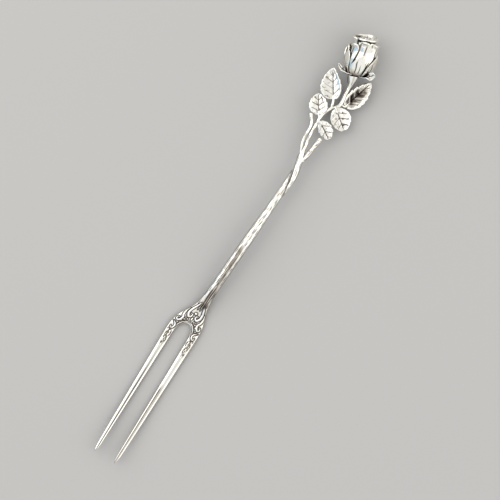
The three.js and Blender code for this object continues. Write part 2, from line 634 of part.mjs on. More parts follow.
// A leaf set down in the sprig with its own stalk, which runs from its host's centre to the leaf's base.
function leafSolid(leaf) {
  const place = new THREE.Matrix4().makeRotationFromEuler(
    new THREE.Euler(rad(leaf.roll), rad(-leaf.pitch), rad(leaf.yaw), "ZYX"),
  );
  place.setPosition(...leaf.base);
  const inLeaf = (x, z) => v3(x, 0, z).applyMatrix4(place);
  const root = v3(...leaf.root);
  const stalk = new THREE.CatmullRomCurve3([
    root,
    root.clone().lerp(inLeaf(-0.4, -0.1), 0.6),
    inLeaf(0.3, -0.1),
    inLeaf(0.3 * leaf.length, -0.2),
  ]);
  const length = stalk.getLength();
  const stalkWidth = (d) => LEAF_STALK_WIDTH * (1 - 0.5 * ease(d, 0.4 * length, length));
  return toSolid(leafBlade(leaf).applyMatrix4(place)).add(bar(stalk, 8, stalkWidth));
}

const leaves = {
  upper_left_leaf: {
    root: [27.2, 0.8, -0.8], base: [29.9, 1.5, -0.35], yaw: 32.5, pitch: 3, roll: -10, length: 10.6,
    width: 6.9, skew: 0.2, belly: 0.72, fullness: 0.72, teeth: 6, toothDepth: 0.35,
    cup: 0.7, droop: 0.5, curl: 0.6,
  },
  lower_left_leaf: {
    root: [22.7, 2.25, -0.6], base: [23.3, 2.9, -0.35], yaw: 32, pitch: 0, roll: 0, length: 7.3,
    width: 6.2, skew: 0.05, belly: 0.8, fullness: 0.64, teeth: 5, toothDepth: 0.35,
    cup: 0.5, droop: 0.5, curl: 0,
  },
  upper_right_leaf: {
    root: [30.6, -1.13, -1.2], base: [29.9, -2.75, -1.9], yaw: -15.8, pitch: 2, roll: 4, length: 11.8,
    width: 6, skew: -0.16, belly: 0.76, fullness: 0.7, teeth: 6, toothDepth: 0.45,
    cup: 0.5, droop: 0.2, curl: 0,
  },
  lower_right_leaf: {
    root: [28.3, -0.3, -0.9], base: [28.2, -0.45, -0.3], yaw: -128, pitch: -6, roll: 0, length: 8,
    width: 6.8, skew: 0.1, belly: 0.95, fullness: 0.56, teeth: 5, toothDepth: 0.3,
    cup: -0.5, droop: 0.6, curl: 0,
  },
  small_leaf: {
    root: [20.9, 2.2, -0.5], base: [21.95, 1.74, -0.15], yaw: -122, pitch: -5, roll: 0, length: 6.8,
    width: 4.7, skew: 0.18, belly: 0.95, fullness: 0.56, teeth: 4, toothDepth: 0.6,
    cup: -0.3, droop: 0.5, curl: 0,
  },
};

// What the leaves and twigs are trimmed to: their hosts, with room for the solder.
const shootSeat = shootBar(SOLDER_GAP);
const stalkSeat = stalkBar(SOLDER_GAP);
const leftTwigSeat = leftTwigBar(SOLDER_GAP);

function makeSprig() {
  const sprig = new THREE.Group();
  const stemSide = halfSpace(scarfLeft.clone().multiplyScalar(-SOLDER_GAP / 2), scarfLeft);
  sprig.add(piece("upper_shoot", trimmed(shootBar(0), stemSide), BARK));
  sprig.add(piece("left_twig", trimmed(leftTwigBar(0), shootSeat), BARK));
  sprig.add(piece("right_twig", trimmed(rightTwigBar(0), shootSeat), BARK));
  const underCalyx = halfSpace(hipTop, roseAxis);
  sprig.add(piece("rose_stalk", trimmed(stalkBar(0), shootSeat, underCalyx), LEAF));
  for (const [name, leaf] of Object.entries(leaves)) {
    sprig.add(piece(name, trimmed(leafSolid(leaf), shootSeat, stalkSeat, leftTwigSeat), LEAF));
  }
  rose.position.copy(roseSeat);
  sprig.add(rose);
  sprig.position.copy(scarfMiddle);
  return sprig;
}

// The whole fork, with its origin under the middle of its box

const fork = new THREE.Group();
fork.add(piece("fork_blade", makeBlade(), POLISHED));
fork.add(piece("main_stem", makeStem(), BARK));
fork.add(makeSprig());
const box = new THREE.Box3().setFromObject(fork, true);
const middle = box.getCenter(v3(0, 0, 0));
fork.position.set(-middle.x, -middle.y, -box.min.z);

export default fork;
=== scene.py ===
"""Looks of a two-tined serving fork in chased silver, with a bark stem and a rose sprig.

Every solid of the fork but the rose's core is modelled again here, finer, from the same driving
sizes, and stands in its place. Lengths are in millimetres and become metres where a mesh is made.
"""
from math import asin, atan, ceil, cos, pi, sin, tan, tau
from types import SimpleNamespace as Shape

import bmesh
import bpy
import numpy as np
from mathutils import Matrix, Vector


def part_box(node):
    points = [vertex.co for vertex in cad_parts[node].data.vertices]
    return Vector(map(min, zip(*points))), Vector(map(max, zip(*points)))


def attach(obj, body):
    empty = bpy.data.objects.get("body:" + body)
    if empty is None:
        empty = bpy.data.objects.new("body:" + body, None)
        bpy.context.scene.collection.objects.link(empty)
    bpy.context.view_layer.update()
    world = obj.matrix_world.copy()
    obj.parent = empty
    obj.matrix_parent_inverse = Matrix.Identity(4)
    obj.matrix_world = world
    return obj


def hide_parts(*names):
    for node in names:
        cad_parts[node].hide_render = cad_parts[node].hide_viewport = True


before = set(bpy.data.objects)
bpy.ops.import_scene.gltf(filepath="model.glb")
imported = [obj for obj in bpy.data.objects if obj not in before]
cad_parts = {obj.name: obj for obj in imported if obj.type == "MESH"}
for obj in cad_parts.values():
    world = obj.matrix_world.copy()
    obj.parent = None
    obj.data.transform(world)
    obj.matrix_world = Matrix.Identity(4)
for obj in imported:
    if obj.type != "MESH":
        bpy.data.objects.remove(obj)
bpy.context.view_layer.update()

MM = 0.001
DEG = pi / 180
UP = np.array([0.0, 0.0, 1.0])

# Joints and edges
SOLDER_GAP = 0.12
SEAM_LINE = 0.2
SHARP_ANGLE = 48 * DEG

# Blade
TINE_LENGTH = 50.4
TINE_TIP_GAP = 6.3
TINE_ROOT_GAP = 5.1
TINE_TIP_WIDTH = 1.15
TINE_ROOT_WIDTH = 2.75
TINE_TAPER_POWER = 0.85
TINE_POINT_LENGTH = 3.2
TINE_TIP_THICKNESS = 0.9
TINE_ROOT_THICKNESS = 1.6
TIP_RISE = 2.8
ARCH_RISE = 4.4
SHOULDER_LENGTH = 10.8
BACK_FLAT_LENGTH = 17
BACK_FLAT_SHARE = 0.5
CROWN_POWER = 2.6
NECK_WIDTH = 3.15
NECK_THICKNESS = 2.4
NECK_RISE = 1.3
NECK_RUN = 9
NECK_OFFSET = 1.2

# Chasing of the blade
CHASE_DEPTH = 0.2
CHASE_LINE = 0.2
STROKE_ROUNDING = 0.26
STROKE_RISE = 0.05
DOT_COUNT = 70
DOT_SIZE = 0.13
DOT_SHARE = 0.9

# Bark stem
STEM_LENGTH = 45
STEM_WIDTH = 3.1
STEM_THICKNESS = 2.6
STEM_END_WIDTH = 2.45
STEM_LEAN = 2.9 * DEG
NECK_FLARE_RUN = 4
SCARF_LENGTH = 9
SPRIG_SLOPE = -0.04
BARK_ROW_SPACING = 0.75
GOUGE_LENGTHS = (1.4, 2.4)

# Shoot, twigs and rose stalk
SHOOT_START_WIDTH = 1
SHOOT_FOOT_WIDTH = 2.1
SHOOT_FOOT_LENGTH = 13.5
SHOOT_WIDTH = 1.15
SHOOT_TAPER_RUN = 3
LEFT_TWIG_WIDTHS = (0.9, 1.4)
RIGHT_TWIG_WIDTHS = (1.5, 1.65)
STALK_WIDTH = 1.35
HIP_WIDTH = 3.7
HIP_LENGTH = 5
HIP_ASIDE = 1

# Rings of a cut end: share of the radius, advance past the end and patina
CUT_END = [
    (0.95, 0.1, 0), (0.86, 0.16, 0), (0.72, 0.12, 0.8),
    (0.58, 0.1, 0.3), (0.36, 0.13, 0.6), (0.16, 0.12, 0.4),
]

# Leaves
LEAF_THICKNESS = 0.55
LEAF_STALK_WIDTH = 0.95
TOOTH_PEAK = 0.74
VEIN_DEPTH = 0.13
VEIN_LINE = 0.13
MIDRIB_LINES = (0.17, 0.1)

# Rose
ROSE_SEAT = np.array([41.3, -0.26, 0.1])
ROSE_YAW = 16.6 * DEG
ROSE_PITCH = 15 * DEG
PETAL_THICKNESS = 0.45
CORE_RADIUS = 1.75
CORE_HEIGHT = 7.6
BUD_RADIUS = 3.95
BUD_SWELL_HEIGHT = 4.6
BUD_SWELL_POWER = 0.65
BUD_NECK_RADIUS = 3.7
BUD_NECK_HEIGHT = 8
BUD_LIP_RADIUS = 3.85
OUTER_HEIGHT = 9.8
OUTER_SLANT = 13 * DEG
OUTER_FRONT_RISE = 2
INNER_SLANT = 6 * DEG
INNER_RISE = 2.9
GUARD_COUNT = 6
GUARD_HEIGHT = 7.4
GUARD_SPACING = 8 * DEG
GUARD_CURL = 0.4
GUARD_TURN = -9 * DEG
PETAL_OVERLAP = 22 * DEG
PETAL_TWIST = 20 * DEG
PETAL_CREASE_DEPTH = 0.16
GUARD_CREASE_DEPTH = 0.14
HEART_DEPTH = 0.5
HEART_TURNS = 2.2
HEART_EYE_RADIUS = 0.5
HEART_CLEARANCE = 0.3
CALYX_RADIUS = 2.2
CALYX_THICKNESS = 0.9
SEPAL_WIDTH = 2.3
SEPAL_HEIGHT = 4.2
SEPAL_REACH = 7.5
SEPAL_THICKNESS = 0.45
SEPAL_ROLL_RADIUS = 0.42
SEPAL_RIB_DEPTH = 0.1
SEPAL_RIB_SHADE = 0.8


# Small sums on arrays


def lerp(a, b, t):
    return a + (b - a) * t


def clamp(t):
    return np.clip(t, 0.0, 1.0)


def ease(t, start, end):
    s = clamp((t - start) / (end - start))
    return s * s * (3 - 2 * s)


def faded(value, t, rise, fall):
    """The value, fading in where t passes one span and out where it passes another."""
    return value * ease(t, *rise) * (1 - ease(t, *fall))


def groove(distance, width):
    """1 on a line, falling to 0 with the distance from it."""
    return np.exp(-((distance / width) ** 2))


def unit(vectors):
    return vectors / np.maximum(np.linalg.norm(vectors, axis=-1, keepdims=True), 1e-9)


def ripple(points, wave, seed):
    """Smooth unevenness from about -1 to 1: a few waves in random directions."""
    rng = np.random.default_rng(seed)
    count = 9
    waves = unit(rng.normal(size=(count, points.shape[-1]))) * tau / wave
    waves *= rng.uniform(0.6, 1.5, size=(count, 1))
    phases = rng.uniform(0, tau, count)
    return np.sin(points @ waves.T + phases).mean(-1) * 1.6


def spread(steps, crowding=0.85):
    """Shares from 0 to 1, crowded towards both ends."""
    t = np.linspace(0, 1, steps + 1)
    return t - crowding * np.sin(tau * t) / tau


def grid(along, across):
    return np.meshgrid(along, across, indexing="ij")


def around(count):
    return np.linspace(0, tau, count, endpoint=False)


# Lines


def smooth_line(points, per_span=40):
    """Dense points of a centripetal spline through the given ones."""
    p = np.array(points, float)
    p = np.vstack([2 * p[0] - p[1], p, 2 * p[-1] - p[-2]])
    gap = np.linalg.norm(np.diff(p, axis=0), axis=1) ** 0.5
    t = np.linspace(0, 1, per_span, endpoint=False)[:, None]
    spans = []
    for i in range(1, len(p) - 2):
        before, here, after = gap[i - 1 : i + 2]
        a, b, c, d = p[i - 1 : i + 3]
        start = ((b - a) / before - (c - a) / (before + here) + (c - b) / here) * here
        end = ((c - b) / here - (d - b) / (here + after) + (d - c) / after) * here
        cubic = 2 * (b - c) + start + end
        square = 3 * (c - b) - 2 * start - end
        spans.append(b + t * (start + t * (square + t * cubic)))
    return np.vstack(spans + [p[-2:-1]])


def run_along(line):
    return np.concatenate([[0], np.cumsum(np.linalg.norm(np.diff(line, axis=0), axis=1))])


def walk(line, steps):
    """Points at equal steps along a line, their directions and distances."""
    run = run_along(line)
    distance = np.linspace(0, run[-1], steps + 1)
    centre = np.column_stack([np.interp(distance, run, column) for column in line.T])
    return centre, unit(np.gradient(centre, axis=0)), distance


# Closed shells: points, quads, triangles and a value of patina and painted shade for each point


def ring_shell(rings, patina_and_shade):
    """Closed skin over rings of points, with its two ends filled."""
    count, sides = rings.shape[:2]
    index = np.arange(count * sides).reshape(count, sides)
    beside = np.roll(index, -1, axis=1)
    quads = np.stack([index[:-1], beside[:-1], beside[1:], index[1:]], axis=-1).reshape(-1, 4)
    first, last = count * sides, count * sides + 1
    start = np.column_stack([np.full(sides, first), beside[0], index[0]])
    end = np.column_stack([np.full(sides, last), index[-1], beside[-1]])
    points = np.vstack([rings.reshape(-1, 3), rings[0].mean(0), rings[-1].mean(0)])
    shade = np.concatenate([patina_and_shade.ravel(), [patina_and_shade[0].mean(), patina_and_shade[-1].mean()]])
    return points, quads, np.vstack([start, end]), shade


def from_border(middle, axis):
    """Distance of each grid point from the nearer border, along one axis."""
    moved = np.moveaxis(middle, axis, 0)
    lengths = np.linalg.norm(np.diff(moved, axis=0), axis=-1)
    run = np.concatenate([np.zeros((1,) + lengths.shape[1:]), np.cumsum(lengths, axis=0)])
    return np.moveaxis(np.minimum(run, run[-1] - run), 0, axis)


def plate_shell(middle, thickness, patina_and_shade, upper=0.0, lower=0.0, under_patina_and_shade=None):
    """Thin plate with a rounded border. upper and lower raise its two faces."""
    # The underside's patina and painted shade; by default a dimmer copy of the upper face's.
    if under_patina_and_shade is None:
        under_patina_and_shade = 0.4 * patina_and_shade
    normal = unit(np.cross(np.gradient(middle, axis=0), np.gradient(middle, axis=1)))
    inwards = np.minimum(from_border(middle, 0), from_border(middle, 1)) / (thickness / 2)
    half = thickness / 2 * np.sqrt(1 - (1 - clamp(inwards)) ** 2)
    inside = clamp(inwards / 2)
    top = middle + normal * (half + upper * inside)[..., None]
    bottom = middle - normal * (half + lower * inside)[..., None]
    over = np.arange(middle[..., 0].size).reshape(middle.shape[:2])
    under = over.copy()
    hidden = under[1:-1, 1:-1]
    under[1:-1, 1:-1] = over.size + np.arange(hidden.size).reshape(hidden.shape)
    quads = []
    for face, turn in ((over, 1), (under, -1)):
        corners = np.stack([face[:-1, :-1], face[1:, :-1], face[1:, 1:], face[:-1, 1:]], axis=-1)
        quads.append(corners.reshape(-1, 4)[:, ::turn])
    points = np.vstack([top.reshape(-1, 3), bottom[1:-1, 1:-1].reshape(-1, 3)])
    shade = np.concatenate([patina_and_shade.ravel(), under_patina_and_shade[1:-1, 1:-1].ravel()])
    return points, np.vstack(quads), np.zeros((0, 3), int), shade


def rings_about(centre, along, across, above):
    """Rings about a line, from offsets to its left and above it."""
    left = unit(np.cross(UP, along))
    over = np.cross(along, left)
    return centre[:, None] + left[:, None] * across[..., None] + over[:, None] * above[..., None]


def bar_rings(line, width, relief, steps, sides, cut_end=False):
    """Rings round a bar and their patina, which relief gives with the bar's unevenness."""
    centre, along, distance = walk(line, steps)
    angle = around(sides)
    half = width(distance)[:, None] / 2
    lift, patina_and_shade = relief(distance[:, None], angle[None, :], half)
    rings = rings_about(centre, along, (half + lift) * np.cos(angle), (half + lift) * np.sin(angle))
    if cut_end:
        return with_cut_end(rings, patina_and_shade, along[-1])
    return rings, patina_and_shade


def with_cut_end(rings, patina_and_shade, along):
    """Adds a bevelled, slightly hollow face to the end of a bar."""
    middle = rings[-1].mean(0)
    spokes = rings[-1] - middle
    for share, advance, dark in CUT_END:
        ring = middle + spokes * share + along * advance
        rings = np.concatenate([rings, ring[None]])
        patina_and_shade = np.concatenate([patina_and_shade, np.full((1, patina_and_shade.shape[1]), dark)])
    return rings, patina_and_shade


def trim(mesh, point, normal):
    """Cuts off what lies beyond a plane, where its normal points, and fills the cut."""
    work = bmesh.new()
    work.from_mesh(mesh)
    everything = work.verts[:] + work.edges[:] + work.faces[:]
    plane = dict(plane_co=Vector(point) * MM, plane_no=Vector(normal))
    bmesh.ops.bisect_plane(work, geom=everything, clear_outer=True, **plane)
    border = [edge for edge in work.edges if edge.is_boundary]
    bmesh.ops.holes_fill(work, edges=border, sides=0)
    work.to_mesh(mesh)
    work.free()


def outward(points, quads, triangles):
    """The faces, turned so that a shell's volume is positive."""
    corners = np.vstack([quads[:, [0, 1, 2]], quads[:, [0, 2, 3]], triangles])
    a, b, c = (points[corners[:, k]] for k in range(3))
    if np.einsum("ij,ij->i", a, np.cross(b, c)).sum() < 0:
        return quads[:, ::-1], triangles[:, ::-1]
    return quads, triangles


def add_object(name, data):
    thing = bpy.data.objects.new(name, data)
    bpy.context.scene.collection.objects.link(thing)
    return thing


def add_piece(node, slot, shells, cuts=()):
    """A piece made of closed shells, in millimetres, that stands for a node of the frame."""
    faces, places, shades, start = [], [], [], 0
    for points, quads, triangles, shade in shells:
        quads, triangles = outward(points, quads, triangles)
        faces += (quads + start).tolist() + (triangles + start).tolist()
        places.append(points)
        shades.append(shade)
        start += len(points)
    mesh = bpy.data.meshes.new(node + "_skin")
    mesh.from_pydata((np.vstack(places) * MM).tolist(), [], faces)
    # Each point's patina and painted shade, which the silver materials read.
    patina_and_shade = mesh.attributes.new("patina_and_shade", "FLOAT", "POINT")
    patina_and_shade.data.foreach_set("value", clamp(np.concatenate(shades)))
    for point, normal in cuts:
        trim(mesh, point, normal)
    mesh.shade_smooth()
    mesh.set_sharp_from_angle(angle=SHARP_ANGLE)
    mesh.materials.append(MATERIALS[slot])
    piece = add_object(node + "_skin", mesh)
    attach(piece, "root")
    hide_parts(node)


# Materials


class Nodes:
    """Short way to add and join the nodes of a material or a world."""

    def __init__(self, tree):
        self.tree = tree

    def add(self, kind, settings=None, **inputs):
        node = self.tree.nodes.new("ShaderNode" + kind)
        for name, value in (settings or {}).items():
            setattr(node, name, value)
        for name, value in inputs.items():
            self.feed(node.inputs[name.replace("_", " ")], value)
        return node

    def feed(self, socket, value):
        if isinstance(value, bpy.types.NodeSocket):
            self.tree.links.new(value, socket)
        else:
            socket.default_value = value

    def sum(self, operation, *values, limit=False):
        node = self.add("Math", {"operation": operation, "use_clamp": limit})
        for socket, value in zip(node.inputs, values):
            self.feed(socket, value)
        return node.outputs[0]

    def scale(self, value, low, high, to_low, to_high):
        """Takes low to to_low and high to to_high, and holds the ends."""
        limits = dict(From_Min=low, From_Max=high, To_Min=to_low, To_Max=to_high)
        return self.add("MapRange", Value=value, **limits).outputs[0]

    def mix(self, share, first, second):
        """Mix of two colours, which go into sockets 6 and 7."""
        node = self.add("Mix", {"data_type": "RGBA"})
        for socket, value in ((0, share), (6, first), (7, second)):
            self.feed(node.inputs[socket], value)
        return node.outputs[2]

    def noise(self, place, size, detail=3.0):
        scale = 1 / (size * MM)
        return self.add("TexNoise", Vector=place, Scale=scale, Detail=detail).outputs[0]


SILVER_WHITE = (0.97, 0.96, 0.89, 1)
SILVER_WARM = (0.93, 0.89, 0.79, 1)
# Tarnish and oxide colours, which painted shade also takes
TARNISH_AND_SHADE = (0.225, 0.185, 0.155, 1)
OXIDE_AND_SHADE = (0.014, 0.012, 0.011, 1)
# Where darkening starts and is full: open sky for crevices, which get oxide and painted shade, and the
# upward part of the normal for flanks, which get painted shade
CREVICE_SKY = (0.62, 0.15)
FLANK_SHADE_UPRIGHT = (0.68, 0.12)


def silver(name, polish, crevice_oxide_and_shade, grain, flank_shade):
    """Oxidised silver: bright where a cloth reaches, dark in lines, with oxide and painted shade in crevices
    and painted shade on flanks.
    """
    material = bpy.data.materials.new(name)
    material.use_nodes = True
    material.node_tree.nodes.clear()
    n = Nodes(material.node_tree)
    place = n.add("TexCoord").outputs["Object"]
    # The mesh's patina, with painted shade and dark reflections in it
    patina_and_shade = n.add("Attribute", {"attribute_name": "patina_and_shade"}).outputs["Fac"]
    # Oxide and painted shade in crevices: darker where occlusion finds little open sky, the floor included.
    occlusion = n.add("AmbientOcclusion", {"samples": 6}, Distance=1.2 * MM)
    hollow = n.scale(occlusion.outputs["AO"], *CREVICE_SKY, 0, crevice_oxide_and_shade)
    # Painted shade on flanks: darker where the normal points less upwards.
    normal = n.add("NewGeometry").outputs["Normal"]
    upright = n.add("SeparateXYZ", Vector=normal).outputs["Z"]
    side = n.scale(upright, *FLANK_SHADE_UPRIGHT, 0, flank_shade)
    cloudy = n.scale(n.noise(place, size=2.4), 0.3, 0.7, 0.8, 1.1)
    dark = n.sum("ADD", n.sum("ADD", patina_and_shade, hollow), side)
    dark = n.sum("MULTIPLY", dark, cloudy, limit=True)
    warmth = n.scale(n.noise(place, size=6.0), 0.42, 0.72, 0, 0.8)
    colour = n.mix(warmth, SILVER_WHITE, SILVER_WARM)
    colour = n.mix(n.scale(dark, 0, 0.55, 0, 1), colour, TARNISH_AND_SHADE)
    colour = n.mix(n.scale(dark, 0.4, 1, 0, 1), colour, OXIDE_AND_SHADE)
    worn = n.scale(n.noise(place, size=0.5, detail=4.0), 0.3, 0.75, polish, polish + 0.1)
    roughness = n.sum("ADD", worn, n.sum("MULTIPLY", dark, 0.35))
    brushed = n.add("Mapping", Vector=place, Scale=(0.12, 1, 1)).outputs[0]
    scratches = n.sum("MULTIPLY", n.noise(brushed, size=0.14, detail=2.0), 0.25)
    pits = n.sum("MULTIPLY", n.noise(place, size=0.9, detail=2.0), grain)
    height = n.sum("ADD", scratches, pits)
    bump = n.add("Bump", Height=height, Distance=0.03 * MM, Strength=0.45)
    finish = dict(Base_Color=colour, Roughness=roughness, Metallic=1.0, Normal=bump.outputs[0])
    shader = n.add("BsdfPrincipled", **finish)
    n.add("OutputMaterial", Surface=shader.outputs[0])
    return material


MATERIALS = {
    "polished_silver": silver("polished silver", polish=0.11, crevice_oxide_and_shade=0.5, grain=0.5, flank_shade=0.7),
    "bark_silver": silver("bark silver", polish=0.18, crevice_oxide_and_shade=0.7, grain=0.9, flank_shade=0.95),
    "leaf_silver": silver("leaf silver", polish=0.2, crevice_oxide_and_shade=0.8, grain=0.9, flank_shade=0.6),
    "petal_silver": silver("petal silver", polish=0.15, crevice_oxide_and_shade=1.0, grain=0.7, flank_shade=0.15),
}


# Blade

crown_x = -SHOULDER_LENGTH
spring_x = crown_x - ARCH_RISE
tip_x = crown_x - TINE_LENGTH
flat_end_x = -NECK_RUN
flat_start_x = flat_end_x - BACK_FLAT_LENGTH

blade_low, blade_high = (np.array(corner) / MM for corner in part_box("fork_blade"))
fork_origin = np.array([blade_low[0] - tip_x, (blade_low[1] + blade_high[1]) / 2, blade_low[2]])


def back_height(x):
    neck = NECK_RISE * np.maximum(0, (x - flat_end_x) / NECK_RUN) ** 2
    return neck + TIP_RISE * np.maximum(0, (flat_start_x - x) / (flat_start_x - tip_x)) ** 2


def from_nose(x):
    """1 at the tip of a tine, 0 behind its rounded nose."""
    return clamp(1 - (x - tip_x) / TINE_POINT_LENGTH)


def blade_thickness(x):
    tine = lerp(TINE_TIP_THICKNESS, TINE_ROOT_THICKNESS, clamp((x - tip_x) / (spring_x - tip_x)))
    tine = tine * lerp(0.3, 1, np.sqrt(1 - from_nose(x) ** 2))
    neck = lerp(TINE_ROOT_THICKNESS, NECK_THICKNESS, ease(x, crown_x, 0))
    return np.where(x > crown_x, neck, tine)


def crown(v):
    """Height of the blade's rounded top from edge to edge, as a share."""
    return np.sqrt(np.maximum(0, 1 - np.abs(v) ** CROWN_POWER))


def bevel(v):
    """Rise of the blade's back beside its flat middle, as a share."""
    return np.maximum(0, (np.abs(v) - BACK_FLAT_SHARE) / (1 - BACK_FLAT_SHARE)) ** 2


def tine_edges(share):
    """Inner and outer edge of the left tine, from its tip to the arch."""
    x = lerp(tip_x, spring_x, share)
    width = lerp(TINE_TIP_WIDTH, TINE_ROOT_WIDTH, share**TINE_TAPER_POWER)
    middle = (lerp(TINE_TIP_GAP, TINE_ROOT_GAP, share) + width) / 2
    half = width / 2 * np.maximum(0.05, np.sqrt(1 - from_nose(x) ** 2))
    return np.column_stack([x, middle - half]), np.column_stack([x, middle + half])


def shoulder_edges(share):
    """Inner and outer edge of the shoulder's left half, from the tine to the arch's crown."""
    turn = share * pi / 2
    inner = [spring_x + ARCH_RISE * np.sin(turn), TINE_ROOT_GAP / 2 * np.cos(turn)]
    run = ARCH_RISE + SHOULDER_LENGTH
    wide = TINE_ROOT_GAP / 2 + TINE_ROOT_WIDTH
    narrow = NECK_WIDTH / 2
    ogee_share = 0.8
    t = clamp(share / ogee_share)
    weights = [(1 - t) ** 3, 3 * (1 - t) ** 2 * t, 3 * (1 - t) * t**2, t**3]
    x_handles = [spring_x, spring_x + 0.62 * run, spring_x + 0.45 * run, NECK_WIDTH]
    outer_x = sum(w * x for w, x in zip(weights, x_handles))
    outer_y = sum(w * y for w, y in zip(weights, [wide, wide, narrow, narrow]))
    across_neck = clamp((share - ogee_share) / (1 - ogee_share))
    return np.column_stack(inner), np.column_stack([outer_x, outer_y * (1 - across_neck)])


def arch_point(turn, offset):
    """A point beside the arch, at an offset from its edge."""
    x = spring_x + (ARCH_RISE + offset) * sin(turn)
    return x, (TINE_ROOT_GAP / 2 + offset) * cos(turn)


def scroll_strokes():
    """Scrolls of the shoulder's left half: half width, then points along and across the blade."""
    strokes = [
        # volute beside the bead
        (0.38, [(-2.9, 0.75), (-4.4, 1.3), (-6.1, 2), (-7.7, 2.1), (-8.6, 1.45), (-8.2, 0.75),
                (-7.4, 0.8), (-7.35, 1.3)]),
        # scroll along the flank
        (0.34, [(-5.9, 2.75), (-7.4, 3.2), (-8.8, 3.15), (-9.7, 2.75), (-10.7, 3), (-11.3, 3.7),
                (-10.9, 4.25), (-10.2, 4.05), (-10.15, 3.65)]),
        # curls that run down the tine
        (0.27, [(-12.1, 4.55), (-12.6, 3.75), (-13.5, 3.3), (-14.4, 3.6), (-14.5, 4.3), (-13.9, 4.4)]),
        (0.25, [(-15.2, 4.5), (-15.5, 3.8), (-16.4, 3.4), (-17.2, 3.7), (-17.2, 4.3), (-16.7, 4.3)]),
        (0.2, [(-18.0, 4.4), (-18.5, 3.8), (-19.3, 3.55)]),
        (0.16, [(-20.2, 4.2), (-20.8, 3.8)]),
        # lines that fan into the neck
        (0.2, [(-5.2, 0.42), (-3.8, 0.3), (-1.2, 0.32)]),
        (0.18, [(-3.4, 1.4), (-1.6, 1), (-0.6, 0.95)]),
        # leaf and bead on the middle line
        (0.26, [(-9.5, 0), (-8.3, 0)]),
        (0.46, [(-6.75, 0), (-6.7, 0)]),
        # band round the arch
        (0.2, [arch_point(turn, 0.62) for turn in np.linspace(0.35, pi / 2, 7)]),
    ]
    # short rays outside the band
    for turn in (0.62, 0.86, 1.08, 1.3):
        strokes.append((0.2, [arch_point(turn, 1.28), arch_point(turn - 0.06, 1.75)]))
    return strokes


def matting():
    """Dots punched into the ground above the crown of the arch."""
    rng = np.random.default_rng(8)
    turns = rng.uniform(0.7, pi / 2, DOT_COUNT)
    offsets = rng.uniform(0.85, 2.4, DOT_COUNT)
    return np.array([arch_point(turn, offset) for turn, offset in zip(turns, offsets)])


def chased(x, y):
    """Relief and patina of the scrolls, y from the shoulder's middle line."""
    places = np.column_stack([x.ravel(), np.abs(y).ravel()])
    far, per_span = 9.0, 12
    edge = np.full(len(places), far)
    for half, points in scroll_strokes():
        line, _, run = walk(smooth_line(points, per_span), per_span * len(points))
        taper = half * lerp(0.45, 1, ease(np.minimum(run, run[-1] - run), 0, 0.3 * run[-1] + 0.01))
        near = np.abs(places[:, 0] - line[:, 0].mean()) < np.ptp(line[:, 0]) / 2 + 2
        apart = np.linalg.norm(places[near][:, None] - line[None], axis=-1) - taper
        edge[near] = np.minimum(edge[near], apart.min(axis=1))
    dots = np.full(len(places), far)
    near = np.abs(places[:, 0] - crown_x) < 5
    dots[near] = np.linalg.norm(places[near][:, None] - matting()[None], axis=-1).min(axis=1)
    edge = edge.reshape(x.shape)
    outside = np.maximum(edge, 0)
    punched = DOT_SHARE * (groove(dots.reshape(x.shape), DOT_SIZE) * ease(edge, 0, 0.12))
    recess = np.maximum(groove(outside, CHASE_LINE), punched)
    body = np.sqrt(clamp(-edge / STROKE_ROUNDING))
    stroke = lerp(-CHASE_DEPTH, STROKE_RISE, body)
    height = np.where(edge > 0, -CHASE_DEPTH * recess, stroke)
    shade = np.maximum(groove(outside, 1.35 * CHASE_LINE), punched)
    return height, shade * ease(edge, -0.1, 0.03)


def painted_neck_reflection(x, aside):
    """Painted dark reflection, streaky, that wanders from the right of the neck to the middle of the stem.
    """
    streaks = ripple(np.stack([x / 6, 2.5 * aside], axis=-1), 1.1, seed=5)
    middle = lerp(-0.35, 0.15, ease(x, 0, 20))
    reach = lerp(1.2, 0.95, ease(x, 0, 6))
    band = 1 - ease(np.abs(aside - middle), reach - 0.5, reach)
    strength = 0.5 + 0.3 * (1 - ease(x, 0, 5)) + 0.15 * ease(x, 7, 13)
    along = faded(strength, x, (-5.2, -3.4), (17, 22))
    return along * band * clamp(0.85 + 0.9 * streaks)


def painted_tine_reflection(x, v, side):
    """Painted dark reflection along a tine, v across it: a thin line, and on the right tine a pale band."""
    if side > 0:
        return 0.8 * groove(v + 0.15, 0.2) * (1 - ease(x, -38, -18))
    started = 1 - ease(x, -34, -31)
    return started * (0.7 * groove(v + 0.35, 0.18) + 0.2 * groove(v - 0.1, 0.4))


def blade_half(side, stations):
    """Rings round half the blade, over its top and back underneath, and their patina."""
    inner, outer = stations
    over_v = np.sin(np.linspace(pi / 2, -pi / 2, 121))
    under_v = np.linspace(-1, 1, 34)[1:-1]
    v = np.concatenate([over_v, under_v])
    lift = np.concatenate([1 + crown(over_v), bevel(under_v)])
    flat = inner[:, None] + (outer - inner)[:, None] * ((1 + v) / 2)[None, :, None]
    x, y = flat[..., 0], side * flat[..., 1]
    z = back_height(x) + blade_thickness(x) / 2 * lift
    height, patina_and_shade = chased(x, y)
    shown = np.where(np.arange(len(v)) < len(over_v), 1 - np.abs(v) ** 10, 0)
    scrolls = faded(shown, x, (-22, -19.5), (-3.4, -1.2))
    # Painted dark reflections: on the neck, and along the tines
    painted_reflection = np.maximum(painted_neck_reflection(x, y), painted_tine_reflection(x, v, side))
    patina_and_shade = np.maximum(patina_and_shade * scrolls, painted_reflection * shown)
    y = y - NECK_OFFSET * ease(x, spring_x, 0)
    return np.stack([x, y, z + height * scrolls], axis=-1), patina_and_shade


